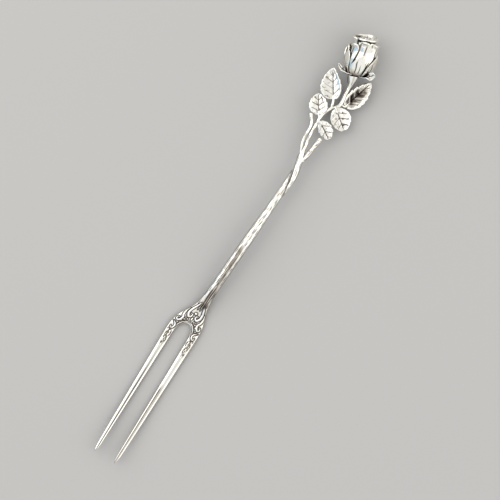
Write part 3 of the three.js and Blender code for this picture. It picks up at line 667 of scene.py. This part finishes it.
def make_blade():
    tine = tine_edges(np.linspace(0, 1, 111)[:-1] ** 1.5)
    shoulder = shoulder_edges(np.linspace(0, 1, 141))
    stations = [np.vstack(pair) for pair in zip(tine, shoulder)]
    # Patina and painted dark reflections of both halves
    left, left_patina_and_shade = blade_half(1, stations)
    right, right_patina_and_shade = blade_half(-1, [edge[:-1] for edge in stations])
    patina_and_shade = np.concatenate([left_patina_and_shade, right_patina_and_shade[::-1]])
    rings = np.concatenate([left, right[::-1]]) + fork_origin
    rings[..., 2] += 0.025 * ripple(rings, 7, seed=3)
    at_neck = (fork_origin, (1, 0, 0))
    add_piece("fork_blade", "polished_silver", [ring_shell(rings, patina_and_shade)], [at_neck])


# Stem

rose_axis = np.array([
    cos(ROSE_PITCH) * cos(ROSE_YAW),
    cos(ROSE_PITCH) * sin(ROSE_YAW),
    sin(ROSE_PITCH),
])
core_middle = sum(np.array(corner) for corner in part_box("rose_core")) / 2 / MM
rose_origin = core_middle - rose_axis * (SOLDER_GAP + CORE_HEIGHT) / 2
sprig_origin = rose_origin - ROSE_SEAT
scarf_turn = atan(STEM_END_WIDTH / SCARF_LENGTH) - STEM_LEAN
scarf_left = np.array([-sin(scarf_turn), cos(scarf_turn), 0])


def seam_shade(points):
    """1 at the scarf joint, falling to 0 beside it."""
    return groove((points - sprig_origin) @ scarf_left, SEAM_LINE)


def stem_point(x):
    t = x / STEM_LENGTH
    rise = lerp(NECK_RISE + NECK_THICKNESS / 2, sprig_origin[2], ease(t, 0, 1))
    slope = 2 * NECK_RISE / NECK_RUN
    arch = STEM_LENGTH * t * (1 - t) * (slope * (1 - t) - SPRIG_SLOPE * t)
    return np.column_stack([x, -NECK_OFFSET - tan(STEM_LEAN) * x, rise + arch])


def bark(seed, density, depth, lengths=GOUGE_LENGTHS):
    """Bark of a bar: thin gouges in lengthwise rows, on a gently uneven ground."""

    def relief(distance, angle, half):
        rng = np.random.default_rng(seed)
        total = distance.max()
        girth = tau * half.mean()
        rows = max(6, round(girth / BARK_ROW_SPACING))
        fineness = min(1, 0.5 + 0.35 * half.mean())
        in_row = ceil(density * total * girth / rows)
        height = np.zeros(np.broadcast(distance, angle).shape)
        dark = np.zeros_like(height)
        for number in range(rows * in_row):
            order, row = divmod(number, rows)
            middle = (order + rng.uniform(0.15, 0.85)) * total / in_row
            turn = pi / 2 + (row + 0.5 + rng.normal(0, 0.14)) * tau / rows
            reach = rng.uniform(*lengths) / 2
            lean = rng.normal(0.03, 0.04)
            width = rng.uniform(0.11, 0.15) * fineness
            shade = rng.uniform(0.75, 1.0)
            near = np.abs(distance[:, 0] - middle) < 1.3 * reach
            along = distance[near] - middle
            away = np.abs(along)
            off = (angle - turn + pi) % tau - pi
            across = off * half[near] - lean * along
            pointed = width * (1 - 0.4 * clamp(away / reach))
            cut = shade * groove(across, pointed) * (1 - ease(away, 0.6 * reach, 1.25 * reach))
            height[near] = np.minimum(height[near], -depth * cut)
            dark[near] = np.maximum(dark[near], cut)
        places = np.broadcast_arrays(distance / 4, 1.5 * np.cos(angle), 1.5 * np.sin(angle))
        ground = ripple(np.stack(places, axis=-1), 1.6, seed=seed + 1)
        return height + 0.25 * depth * ground, dark

    return relief


def make_stem():
    end_x = STEM_LENGTH + 0.6 * SCARF_LENGTH
    line = stem_point(np.linspace(-NECK_WIDTH / 2, end_x, 400))
    centre, along, distance = walk(line, steps=520)
    angle = around(112)
    v, up = np.cos(angle), np.sin(angle)
    tapered = ease(distance, 0.5 * STEM_LENGTH, STEM_LENGTH - SCARF_LENGTH / 2)
    flared = ease(distance, NECK_WIDTH / 2, NECK_WIDTH / 2 + NECK_FLARE_RUN)
    width = lerp(NECK_WIDTH, lerp(STEM_WIDTH, STEM_END_WIDTH, tapered), flared)
    half = width[:, None] / 2
    # The neck's crowned section turns into the stem's oval one.
    at_neck = 1 - ease(centre[:, :1], 0, 6)
    section = np.where(up >= 0, crown(v), bevel(v) - 1)
    rise = lerp(half * STEM_THICKNESS / STEM_WIDTH * up, NECK_THICKNESS / 2 * section, at_neck)
    gouged = bark(seed=12, density=0.45, depth=0.09)
    height, patina_and_shade = gouged(distance[:, None], angle[None, :], half)
    fade = ease(centre[:, :1], -0.5, 2.5)
    across = half * v + height * fade * v
    rings = rings_about(centre, along, across, rise + height * fade * up)
    # Painted dark reflection on the upper face near the neck
    painted_reflection = painted_neck_reflection(rings[..., 0], half * v) * (up > 0)
    rings = rings + fork_origin
    patina_and_shade = np.maximum(np.maximum(patina_and_shade * fade, painted_reflection), seam_shade(rings))
    seam = sprig_origin + scarf_left * SOLDER_GAP / 2
    cuts = [(fork_origin, (-1, 0, 0)), (seam, -scarf_left)]
    add_piece("main_stem", "bark_silver", [ring_shell(rings, patina_and_shade)], cuts)


# Sprig

rose_left = unit(np.cross(UP, rose_axis))
hip_top = ROSE_SEAT - rose_axis * (CALYX_THICKNESS + SOLDER_GAP) + rose_left * HIP_ASIDE
hip_foot = hip_top - rose_axis * 0.6 * HIP_LENGTH

SHOOT_LINE = smooth_line([
    (-0.5 * SCARF_LENGTH, -0.5 * (STEM_END_WIDTH - SHOOT_START_WIDTH), 0),
    (1.9, -0.75, 0), (6.5, 0.2, 0), (9.2, 0.82, 0), (12.7, 1.32, -0.1), (16.3, 1.93, -0.25),
    (19.5, 2.15, -0.4), (22.1, 2.26, -0.55), (24, 2.1, -0.65), (25.8, 1.58, -0.75), (27.2, 0.8, -0.8),
    (28.7, -0.5, -0.9),
])
LEFT_TWIG_LINE = smooth_line([
    (9, 1, 0), (10.5, 1.75, 0.05), (12, 2.48, 0.1), (13.75, 3, 0.1), (15.5, 3.22, 0.05),
    (17.2, 3.24, 0), (18.7, 3.3, 0), (20, 3.68, 0), (21.2, 4.42, 0), (22.5, 5.35, 0),
])
RIGHT_TWIG_LINE = smooth_line([
    (7.9, -0.2, 0), (10.4, -0.7, -0.1), (13.8, -1.12, -0.2), (17.1, -1.6, -0.3),
])
STALK_LINE = smooth_line([
    (28.5, -0.65, -0.9), (29.6, -1.12, -1.05), (31.2, -1.12, -1.25), (33.2, -0.78, -1.4),
    hip_foot, hip_top + rose_axis * SOLDER_GAP,
])


def in_sprig(shell):
    return (shell[0] + sprig_origin,) + shell[1:]


def shoot_width(d):
    foot = lerp(SHOOT_START_WIDTH, SHOOT_FOOT_WIDTH, ease(d, 0, SCARF_LENGTH))
    return lerp(foot, SHOOT_WIDTH, ease(d, SHOOT_FOOT_LENGTH, SHOOT_FOOT_LENGTH + SHOOT_TAPER_RUN))


def twig_width(start, end):
    """Width along a twig that thickens towards its cut end."""

    def width(d):
        return lerp(start, end, ease(d, 0.6 * d.max(), d.max()))

    return width


def stalk_width(d):
    return lerp(STALK_WIDTH, HIP_WIDTH, ease(d, d.max() - HIP_LENGTH, d.max()))


def hip_relief(distance, angle, half):
    """Light bark, and five soft ribs that show where the stalk swells."""
    swollen = ease(half, STALK_WIDTH / 2, HIP_WIDTH / 2)
    wave = np.cos(5 * angle)
    gouged = bark(seed=29, density=0.3, depth=0.05, lengths=(1.2, 2.4))
    height, dark = gouged(distance, angle, half)
    return height + 0.07 * swollen * wave, 0.5 * dark + 0.25 * swollen * clamp(-wave)


def make_shoots():
    gouged = bark(seed=17, density=0.4, depth=0.06)
    rings, patina_and_shade = bar_rings(SHOOT_LINE, shoot_width, gouged, steps=330, sides=72)
    rings = rings + sprig_origin
    shell = ring_shell(rings, np.maximum(patina_and_shade, seam_shade(rings)))
    seam = sprig_origin - scarf_left * SOLDER_GAP / 2
    add_piece("upper_shoot", "bark_silver", [shell], [(seam, scarf_left)])
    gouged = bark(seed=19, density=0.35, depth=0.06)
    knotted = bark(seed=23, density=1.0, depth=0.1, lengths=(0.8, 1.6))
    twigs = [
        ("left_twig", LEFT_TWIG_LINE, LEFT_TWIG_WIDTHS, gouged, 56),
        ("right_twig", RIGHT_TWIG_LINE, RIGHT_TWIG_WIDTHS, knotted, 64),
    ]
    for node, line, widths, relief, sides in twigs:
        rings, patina_and_shade = bar_rings(line, twig_width(*widths), relief, 150, sides, cut_end=True)
        add_piece(node, "bark_silver", [ring_shell(rings + sprig_origin, patina_and_shade)])
    rings, patina_and_shade = bar_rings(STALK_LINE, stalk_width, hip_relief, steps=170, sides=72)
    shell = ring_shell(rings + sprig_origin, patina_and_shade)
    add_piece("rose_stalk", "leaf_silver", [shell], [(sprig_origin + hip_top, rose_axis)])


# Leaves, each in its own frame first: +X along the midrib and +Z its upper face

# shade sets how much painted shade lies between a leaf's veins.
LEAVES = {
    "upper_left_leaf": Shape(
        root=(27.2, 0.8, -0.8), base=(29.9, 1.5, -0.35), yaw=32.5, pitch=3, roll=-10, length=10.6, width=6.9,
        skew=0.2, belly=0.72, fullness=0.72, teeth=6, tooth=0.35, cup=0.7, droop=0.5, curl=0.6, shade=0,
    ),
    "lower_left_leaf": Shape(
        root=(22.7, 2.25, -0.6), base=(23.3, 2.9, -0.35), yaw=32, pitch=0, roll=0, length=7.3, width=6.2,
        skew=0.05, belly=0.8, fullness=0.64, teeth=5, tooth=0.35, cup=0.5, droop=0.5, curl=0, shade=0,
    ),
    "upper_right_leaf": Shape(
        root=(30.6, -1.13, -1.2), base=(29.9, -2.75, -1.9), yaw=-15.8, pitch=2, roll=4, length=11.8, width=6,
        skew=-0.16, belly=0.76, fullness=0.7, teeth=6, tooth=0.45, cup=0.5, droop=0.2, curl=0, shade=0.9,
    ),
    "lower_right_leaf": Shape(
        root=(28.3, -0.3, -0.9), base=(28.2, -0.45, -0.3), yaw=-128, pitch=-6, roll=0, length=8, width=6.8,
        skew=0.1, belly=0.95, fullness=0.56, teeth=5, tooth=0.3, cup=-0.5, droop=0.6, curl=0, shade=0,
    ),
    "small_leaf": Shape(
        root=(20.9, 2.2, -0.5), base=(21.95, 1.74, -0.15), yaw=-122, pitch=-5, roll=0, length=6.8, width=4.7,
        skew=0.18, belly=0.95, fullness=0.56, teeth=4, tooth=0.6, cup=-0.3, droop=0.5, curl=0, shade=0,
    ),
}


def leaf_blade(leaf, seed):
    """Middle surface of a leaf, the relief of its upper face and its patina."""
    share, rank = grid(spread(170, 0.5), spread(100, 0.6))
    v = 2 * rank - 1
    aside = np.abs(v)
    inwards = 1 - aside
    u = lerp(0.03, 0.985, share)
    edge = aside**3
    phase = (share * leaf.teeth) % 1
    saw = np.where(phase < TOOTH_PEAK, phase, TOOTH_PEAK * (1 - phase) / (1 - TOOTH_PEAK))
    waist = np.sin(pi * share)
    tooth = leaf.tooth * saw * waist * edge
    bulge = np.sin(pi * u ** leaf.belly) ** leaf.fullness
    outline = (1 + leaf.skew * np.sign(v)) * bulge
    half = np.maximum(leaf.width / 2 * outline, 0.35 * LEAF_STALK_WIDTH)
    x = u * leaf.length + tooth * 0.8
    y = v * (half + tooth - leaf.tooth / 2 * edge * waist)
    bend = leaf.cup * v**2 * half / leaf.width * 2 - leaf.droop * u**2
    z = bend + leaf.curl * np.maximum(0, -v) ** 3 * u
    middle = np.stack([x, y, z], axis=-1)
    # Veins sweep forwards, and some are cut more lightly than others.
    sweep = 0.24 * aside**0.85
    veins = leaf.teeth - 1
    vein_number = veins * (share - sweep) + 0.35
    beside = vein_number % 1
    to_vein = np.minimum(beside, 1 - beside) / veins * leaf.length
    strengths = np.random.default_rng(seed).uniform(0.45, 1, size=(2, veins + 3))
    strength = strengths[(v > 0).astype(int), np.round(vein_number).astype(int) + 1]
    open_part = faded(ease(inwards, 0.1, 0.4), share, (0.03, 0.12), (0.84, 0.95))
    vein = strength * groove(to_vein, VEIN_LINE) * open_part
    midrib = groove(y, lerp(*MIDRIB_LINES, share)) * (1 - ease(share, 0.85, 0.97))
    # The face swells between the veins and is hammered.
    quilt = 0.04 * np.sin(pi * beside) * open_part * ease(np.abs(y), 0.1, 0.8)
    hammered = 0.05 * ripple(middle, 1.9, seed=seed) * ease(inwards, 0, 0.3)
    relief = quilt + hammered - VEIN_DEPTH * np.maximum(vein, 1.2 * midrib)
    # Tarnish stays in stains and in specks towards the edge; a dark leaf gets painted shade between the
    # veins.
    stains = clamp(ripple(middle, 1.2, seed=seed + 1) - 0.3)
    outlying = np.maximum(ease(share, 0.55, 0.85), ease(aside, 0.5, 0.75)) * ease(inwards, 0.03, 0.12)
    specks = clamp(ripple(middle, 0.8, seed=seed + 2) - 0.4)
    inside = faded(1 - ease(aside, 0.5, 0.82), share, (0.02, 0.15), (0.55, 0.9))
    along_veins = np.stack([leaf.length * (share - sweep), 0.7 * v], axis=-1)
    stripes = ripple(along_veins, 1.2, seed=seed + 3)
    panel_shade = clamp(0.72 + 0.6 * stripes) * (1 - 0.8 * groove(to_vein, 0.25))
    lines = np.maximum(0.95 * (vein * (1 - leaf.shade * inside)), midrib)
    spots = lines + 0.8 * stains * ease(inwards, 0.05, 0.4) + 1.1 * specks * outlying
    return middle, relief, spots + leaf.shade * inside * panel_shade


def leaf_place(leaf):
    """Matrix that sets a leaf down in the sprig."""
    place = Matrix.Translation(leaf.base)
    for turn, axis in ((leaf.yaw, "Z"), (-leaf.pitch, "Y"), (leaf.roll, "X")):
        place = place @ Matrix.Rotation(turn * DEG, 4, axis)
    return np.array(place)


def leaf_stalk_width(d):
    return LEAF_STALK_WIDTH * (1 - 0.5 * ease(d, 0.4 * d.max(), d.max()))


def leaf_stalk_line(leaf, place):
    """Line of a leaf's stalk, from the shoot to under the leaf's midrib."""
    root = np.array(leaf.root)
    places = np.array([(-0.4, 0, -0.1), (0.3, 0, -0.1), (0.3 * leaf.length, 0, -0.2)])
    before, below, end = places @ place[:3, :3].T + place[:3, 3]
    return smooth_line([root, lerp(root, before, 0.6), below, end])


def make_leaves():
    for number, (node, leaf) in enumerate(LEAVES.items()):
        place = leaf_place(leaf)
        middle, relief, dark = leaf_blade(leaf, seed=40 + number)
        middle = middle @ place[:3, :3].T + place[:3, 3]
        blade = plate_shell(middle, LEAF_THICKNESS, dark, upper=relief, lower=-0.5 * relief)
        gouged = bark(seed=60 + number, density=0.4, depth=0.05, lengths=(0.5, 1.2))
        line = leaf_stalk_line(leaf, place)
        stalk = ring_shell(*bar_rings(line, leaf_stalk_width, gouged, steps=70, sides=36))
        add_piece(node, "leaf_silver", [in_sprig(blade), in_sprig(stalk)])


# Rose, about its own axis: heights are from the top of the calyx

lap = PETAL_THICKNESS + SOLDER_GAP
nest = 2 * lap
bud_foot_radius = CORE_RADIUS + SOLDER_GAP
foot_rise = (nest / (BUD_RADIUS - bud_foot_radius)) ** (1 / BUD_SWELL_POWER)
inner_foot_height = BUD_SWELL_HEIGHT * asin(foot_rise) * 2 / pi
inner_height = OUTER_HEIGHT + INNER_RISE


def bud_radius(h):
    rise = np.sin(pi / 2 * clamp(h / BUD_SWELL_HEIGHT)) ** BUD_SWELL_POWER
    draw_in = (BUD_RADIUS - BUD_NECK_RADIUS) * ease(h, BUD_SWELL_HEIGHT, BUD_NECK_HEIGHT)
    opens = (BUD_LIP_RADIUS - BUD_NECK_RADIUS) * ease(h, BUD_NECK_HEIGHT, OUTER_HEIGHT)
    return lerp(bud_foot_radius, BUD_RADIUS, rise) - draw_in + opens


def inner_radius(h):
    return bud_radius(np.minimum(h, BUD_NECK_HEIGHT)) - nest


def guard_radius(h):
    return bud_radius(h) + 2 * lap


def bud_reach(h):
    return float(guard_radius(h) + PETAL_THICKNESS)


# throat sets the painted shade on the inside of a whorl's mouth.
WHORLS = {
    "inner_petal": Shape(
        count=3, phase=0.3, columns=130, radius=inner_radius, foot=inner_foot_height,
        top=inner_height, slant=INNER_SLANT, front_rise=0, edge_drop=0.25, level_rim=True,
        roll=0.7, roll_run=INNER_RISE, edge_curl=0, bead=0.6, crease=0, throat=0.95,
    ),
    "outer_petal": Shape(
        count=7, phase=0.87, columns=110, radius=bud_radius, foot=SOLDER_GAP,
        top=OUTER_HEIGHT, slant=OUTER_SLANT, front_rise=OUTER_FRONT_RISE, edge_drop=2,
        level_rim=False, roll=0.5, roll_run=OUTER_HEIGHT - BUD_NECK_HEIGHT, edge_curl=0.1,
        bead=0.2, crease=1, throat=0.5,
    ),
}


def on_axis(r, turn, h):
    return np.stack([r * np.cos(turn), r * np.sin(turn), h + 0 * r], axis=-1)


def in_rose(shell):
    right = np.array([sin(ROSE_YAW), -cos(ROSE_YAW), 0])
    basis = np.column_stack([np.cross(right, rose_axis), right, rose_axis])
    return (shell[0] @ basis.T + rose_origin,) + shell[1:]


def slant(tilt, r, turn):
    """Rise of a mouth's slant at a place round the axis."""
    return tan(tilt) * r * np.sin(turn)


def twisted(foot_turn, h):
    """Turn of a point of a petal, which winds round the bud as it rises."""
    return foot_turn + PETAL_TWIST * ease(h, 0, OUTER_HEIGHT)


def foot_shade(h):
    return 0.45 * (1 - ease(h, 0, 1.6))


def petal_shell(whorl, number):
    """A petal that laps over the next one and rolls outwards at its rim."""
    pitch = tau / whorl.count
    u, v = grid(spread(whorl.columns, 0.7), spread(84, 0.7))
    angle = u * (pitch + PETAL_OVERLAP)
    foot_turn = angle + pitch * (number + whorl.phase)
    top_turn = foot_turn + PETAL_TWIST
    front = whorl.front_rise * np.maximum(0, np.cos(top_turn)) ** 2
    level = whorl.top + slant(whorl.slant, BUD_NECK_RADIUS, top_turn) + front
    corner = 0.4 * ease(u, 0.93, 1)
    h = lerp(whorl.foot, level - whorl.edge_drop * np.abs(2 * u - 1) ** 3 - corner, v)
    step = lap * ease(angle, PETAL_OVERLAP * 1.1, pitch * 0.98)
    uncovered = ease(angle, PETAL_OVERLAP * 1.02, PETAL_OVERLAP * 1.6)
    free = 1.0 if whorl.level_rim else uncovered
    roll = whorl.roll * free * clamp(1 - (level - h) / whorl.roll_run) ** 2
    # The free edge lifts off its neighbour towards the top, and the rim thickens to a bead.
    curl = whorl.edge_curl * ease(u, 0.74, 1) * ease(h, 2.5, 7)
    bead_run = ease(angle, PETAL_OVERLAP * 0.7, PETAL_OVERLAP * 1.6) * (1 - 0.85 * ease(u, 0.84, 1))
    bead = whorl.bead * bead_run * ease(v, 0.86, 0.98)
    r = whorl.radius(h) + step + roll + curl + (PETAL_THICKNESS + bead) / 2
    middle = on_axis(r, twisted(foot_turn, h), h - 0.4 * roll)
    # One long crease bends like an S beside the free edge, and a short one rises from the foot.
    wide = (pitch + PETAL_OVERLAP) * BUD_RADIUS
    bend = 0.05 * np.sin(tau * v)
    long_crease = faded(groove((u - 0.72 - bend) * wide, 0.13), v, (0.12, 0.3), (0.8, 0.95))
    short_crease = faded(groove((u - 0.5 + 0.04 * v) * wide, 0.12), v, (0.06, 0.15), (0.3, 0.55))
    crease = whorl.crease * np.maximum(long_crease, 0.8 * short_crease)
    # Painted shade: a dark band beside where the neighbouring petal's edge lies over this one.
    lap_shade = groove((angle - 1.05 * PETAL_OVERLAP) * BUD_RADIUS, 0.3) * (1 - ease(v, 0.9, 1))
    swell = faded(0.06 * np.sin(3 * pi * u), v, (0.1, 0.4), (0.85, 1))
    uneven = 0.03 * ripple(middle, 2.4, seed=70 + number)
    relief = swell + uneven - PETAL_CREASE_DEPTH * crease
    lines = np.maximum(0.9 * crease, 0.7 * whorl.crease * lap_shade)
    dark = lines + whorl.crease * foot_shade(h)
    # Painted shade: inside, the mouth is darkest low on its left.
    shade_leftwards = clamp(0.15 + 0.95 * np.cos(top_turn - 240 * DEG))
    throat = whorl.throat * (1 - ease(v, 0.88, 0.97)) * shade_leftwards
    return plate_shell(middle, PETAL_THICKNESS + bead, dark, upper=relief, under_patina_and_shade=throat)


def guard_shell(number):
    """A short pointed petal outside the others, whose tip stands off the bud."""
    pitch = tau / GUARD_COUNT
    half = (pitch - GUARD_SPACING) / 2
    u, v = grid(spread(110, 0.6), spread(80, 0.6))
    side = 2 * u - 1
    h = lerp(SOLDER_GAP, GUARD_HEIGHT * (1 - 0.55 * np.abs(side) ** 1.6), v)
    curl = GUARD_CURL * ease(h, 0.5 * GUARD_HEIGHT, GUARD_HEIGHT)
    r = guard_radius(h) + curl + PETAL_THICKNESS / 2
    foot_turn = GUARD_TURN + pitch * number + side * half
    middle = on_axis(r, twisted(foot_turn, h), h)
    # Two creases bend like an S from the foot, one of them nearly to the tip.
    wide = 2 * half * BUD_RADIUS
    bend = 0.07 * np.sin(tau * v)
    long_crease = faded(groove((u - 0.4 - bend) * wide, 0.11), v, (0.06, 0.16), (0.6, 0.88))
    short_crease = faded(groove((u - 0.68 - bend) * wide, 0.1), v, (0.08, 0.2), (0.4, 0.66))
    crease = np.maximum(long_crease, 0.85 * short_crease)
    uneven = 0.04 * ripple(middle, 2.4, seed=90 + number)
    relief = uneven - GUARD_CREASE_DEPTH * crease
    return plate_shell(middle, PETAL_THICKNESS, 0.9 * crease + foot_shade(h), upper=relief)


def heart_shell():
    """The rolled strip in the middle of the rose."""
    foot = CORE_HEIGHT + SOLDER_GAP
    height = inner_height - HEART_DEPTH - foot
    outer = inner_radius(BUD_NECK_HEIGHT) - HEART_CLEARANCE - PETAL_THICKNESS
    u, v = grid(spread(240, 0.3), spread(26))
    angle = u * HEART_TURNS * tau
    r = lerp(HEART_EYE_RADIUS, outer, u) + PETAL_THICKNESS / 2
    wavy = 1 - 0.12 * np.sin(angle * 1.5) ** 2 - 0.2 * u**6
    top = foot + height * wavy + slant(INNER_SLANT, r, angle)
    middle = on_axis(r, angle, lerp(foot, top, v))
    # Darker towards its foot, deep in the rose.
    return plate_shell(middle, PETAL_THICKNESS, 0.7 * (1 - ease(v, 0.3, 0.85)))


def sepal_half(u, tip):
    """Half width along a sepal, as a share of its greatest."""
    return np.maximum(tip, 1.15 * np.sin(pi * (0.25 + 0.72 * u)) ** 1.2 - 0.13)


def sepal_path(places):
    """Radius and height along a sepal, from inside the calyx's disc to its tip."""
    root = -CALYX_THICKNESS / 2
    return smooth_line([(CALYX_RADIUS / 2, root), (CALYX_RADIUS, root)] + places, per_span=28)


def sepal_ribs(share, across):
    midrib = faded(groove(across, 0.13), share, (0.25, 0.4), (0.8, 0.95))
    beside = faded(groove(np.abs(across) - 0.55, 0.12), share, (0.3, 0.45), (0.55, 0.7))
    return np.maximum(midrib, 0.6 * beside)


def hugging_sepal(azimuth):
    """A sepal that lies against the bud."""
    clear = 2 * SOLDER_GAP + SEPAL_THICKNESS / 2
    heights = [step * SEPAL_HEIGHT for step in (0.12, 0.3, 0.65, 1)]
    places = [(bud_reach(0) + clear, -SEPAL_THICKNESS / 2)]
    places += [(bud_reach(h) + clear, h) for h in heights]
    steps = 70
    centre, _, _ = walk(sepal_path(places), steps)
    share, rank = grid(np.linspace(0, 1, steps + 1), spread(32))
    across = (2 * rank - 1) * SEPAL_WIDTH / 2 * sepal_half(share, tip=0.06)
    r = centre[:, :1] + 0 * rank
    middle = on_axis(r, azimuth + across / np.maximum(r, CALYX_RADIUS), centre[:, 1:] + 0 * rank)
    ribs = sepal_ribs(share, across)
    return plate_shell(middle, SEPAL_THICKNESS, SEPAL_RIB_SHADE * ribs, lower=-SEPAL_RIB_DEPTH * ribs)


def splayed_sepal(azimuth, width, breadth):
    """A sepal that stands off the bud, faces the front, broadens there and rolls up at its tip."""
    shares = [(0.62, 0), (0.77, 0.19), (0.9, 0.4), (1, 0.6)]
    flat = sepal_path([(r * SEPAL_REACH, h * SEPAL_HEIGHT) for r, h in shares])
    run = unit(np.gradient(flat, axis=0))
    distance = run_along(flat)
    outwards = np.array([cos(azimuth), sin(azimuth), 0])
    sideways = np.array([-sin(azimuth), cos(azimuth), 0])
    centre = flat[:, :1] * outwards + flat[:, 1:] * UP
    along = run[:, :1] * outwards + run[:, 1:] * UP
    face_on = unit(np.cross([1, 0, 0], along))
    share = np.linspace(0, 1, len(flat))
    across = unit(lerp(sideways, face_on, ease(share, 0.4, 0.7)[:, None]))
    start = int(0.86 * len(flat))
    turn = ((distance - distance[start]) / SEPAL_ROLL_RADIUS)[start:, None]
    up_face = np.cross(along[start], across[start])
    rolled = along[start] * np.sin(turn) + up_face * (1 - np.cos(turn))
    centre[start:] = centre[start] + SEPAL_ROLL_RADIUS * rolled
    across[start:] = across[start]
    share, rank = grid(share, spread(36))
    broad = breadth * ease(share, 0.35, 0.55) * np.sqrt(clamp((1.04 - share) / 0.35))
    rounded = np.sqrt(np.maximum(0.02, 1 - (1 - clamp((1 - share) / 0.1)) ** 2))
    offset = (2 * rank - 1) * width / 2 * np.maximum(sepal_half(share, tip=0.5), broad) * rounded
    middle = centre[:, None] + across[:, None] * offset[..., None]
    ribs = sepal_ribs(share, offset)
    return plate_shell(middle, SEPAL_THICKNESS, SEPAL_RIB_SHADE * ribs, upper=-SEPAL_RIB_DEPTH * ribs)


def calyx_disc():
    profile = [
        (0.05, -CALYX_THICKNESS), (0.8 * CALYX_RADIUS, -CALYX_THICKNESS),
        (CALYX_RADIUS, -CALYX_THICKNESS / 2), (0.95 * CALYX_RADIUS, 0), (0.05, 0),
    ]
    turn = around(60)
    rings = np.stack([on_axis(np.full(turn.shape, r), turn, h) for r, h in profile])
    return ring_shell(rings, np.full(rings.shape[:2], 0.5))


def make_rose():
    shells = [calyx_disc()] + [hugging_sepal(azimuth * DEG) for azimuth in (120, 180, 240)]
    shells.append(splayed_sepal(50 * DEG, SEPAL_WIDTH, breadth=1.1))
    shells.append(splayed_sepal(-62 * DEG, 0.8 * SEPAL_WIDTH, breadth=0.7))
    add_piece("calyx", "leaf_silver", [in_rose(shell) for shell in shells])
    add_piece("heart_scroll", "petal_silver", [in_rose(heart_shell())])
    for kind, whorl in WHORLS.items():
        for number in range(whorl.count):
            shell = in_rose(petal_shell(whorl, number))
            add_piece(f"{kind}_{number + 1}", "petal_silver", [shell])
    for number in range(GUARD_COUNT):
        add_piece(f"guard_petal_{number + 1}", "petal_silver", [in_rose(guard_shell(number))])
    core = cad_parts["rose_core"]
    core.data.materials.clear()
    core.data.materials.append(MATERIALS["petal_silver"])


make_blade()
make_stem()
make_shoots()
make_leaves()
make_rose()


# Studio

IMAGE_RIGHT = Vector((0.52736, -0.84964, 0))
IMAGE_UP = Vector((0.84964, 0.52736, 0))
VIEW_CENTRE = Vector((fork_origin[0] + 19.92, fork_origin[1] - 4.6, 0)) * MM
VIEW_WIDTH = 161 * MM
CAMERA_HEIGHT = 2000 * MM
FLOOR_REACH = 4000 * MM
FLOOR_DROP = 0.03 * MM
FLOOR_COLOUR = (0.48, 0.472, 0.458, 1)
FLOOR_ROUGHNESS = 0.65
# Height in the sky, and the brightness there
SKY_STOPS = [(0.0, 0.5), (0.05, 0.6), (0.2, 0.95), (0.8, 1.0), (0.96, 0.92), (1.0, 0.84)]
SKY_STRENGTH = 0.93
# Direction of a cool window low on the left, and where its soft edge starts and ends
WINDOW_PLACE = (-1.0, -0.15, 0.14)
WINDOW_EDGE = (0.82, 0.93)
WINDOW_COLOUR = (0.5, 0.71, 0.95, 1)


def in_view(right, up, height):
    return IMAGE_RIGHT * right + IMAGE_UP * up + Vector((0, 0, height))


def make_floor():
    mesh = bpy.data.meshes.new("floor")
    square = ((-1, -1), (1, -1), (1, 1), (-1, 1))
    corners = [(x * FLOOR_REACH, y * FLOOR_REACH, -FLOOR_DROP) for x, y in square]
    mesh.from_pydata(corners, [], [(0, 1, 2, 3)])
    material = bpy.data.materials.new("pale floor")
    material.use_nodes = True
    shader = material.node_tree.nodes["Principled BSDF"]
    shader.inputs["Base Color"].default_value = FLOOR_COLOUR
    shader.inputs["Roughness"].default_value = FLOOR_ROUGHNESS
    mesh.materials.append(material)
    floor = add_object("floor", mesh)


def make_world():
    world = bpy.data.worlds.new("studio")
    world.use_nodes = True
    bpy.context.scene.world = world
    n = Nodes(world.node_tree)
    direction = n.add("TexCoord").outputs["Generated"]
    height = n.add("SeparateXYZ", Vector=direction).outputs["Z"]
    ramp = n.add("ValToRGB", Fac=height)
    elements = ramp.color_ramp.elements
    while len(elements) < len(SKY_STOPS):
        elements.new(0.5)
    for element, (position, value) in zip(elements, SKY_STOPS):
        element.position = position
        element.color = (value, value, value, 1)
    beside = n.add("VectorMath", {"operation": "DOT_PRODUCT"})
    n.feed(beside.inputs[0], direction)
    n.feed(beside.inputs[1], in_view(*WINDOW_PLACE).normalized())
    window = n.scale(beside.outputs["Value"], *WINDOW_EDGE, 0, 1)
    background = world.node_tree.nodes["Background"]
    n.feed(background.inputs["Color"], n.mix(window, ramp.outputs[0], WINDOW_COLOUR))
    n.feed(background.inputs["Strength"], SKY_STRENGTH)


def make_light(name, place, size, power, colour):
    data = bpy.data.lights.new(name, "AREA")
    data.shape = "RECTANGLE"
    data.size, data.size_y = (side * MM for side in size)
    data.energy = power
    data.color = colour
    light = add_object(name, data)
    light.location = in_view(*place) * MM
    light.rotation_euler = (-light.location).to_track_quat("-Z", "Y").to_euler()
    light.visible_camera = False


def make_camera():
    data = bpy.data.cameras.new("camera")
    data.sensor_width = 36
    data.lens = data.sensor_width * CAMERA_HEIGHT / VIEW_WIDTH
    data.clip_start = 0.01
    camera = add_object("camera", data)
    towards = Matrix((IMAGE_RIGHT, IMAGE_UP, (0, 0, 1))).transposed().to_4x4()
    place = VIEW_CENTRE + Vector((0, 0, CAMERA_HEIGHT))
    camera.matrix_world = Matrix.Translation(place) @ towards
    bpy.context.scene.camera = camera


make_floor()
make_world()
make_light("key", place=(-420, 320, 520), size=(800, 800), power=2.1, colour=(1.0, 0.98, 0.94))
make_light("fill", place=(520, -120, 420), size=(600, 700), power=0.8, colour=(1.0, 0.97, 0.93))
make_camera()
bpy.context.scene.view_settings.view_transform = "Standard"
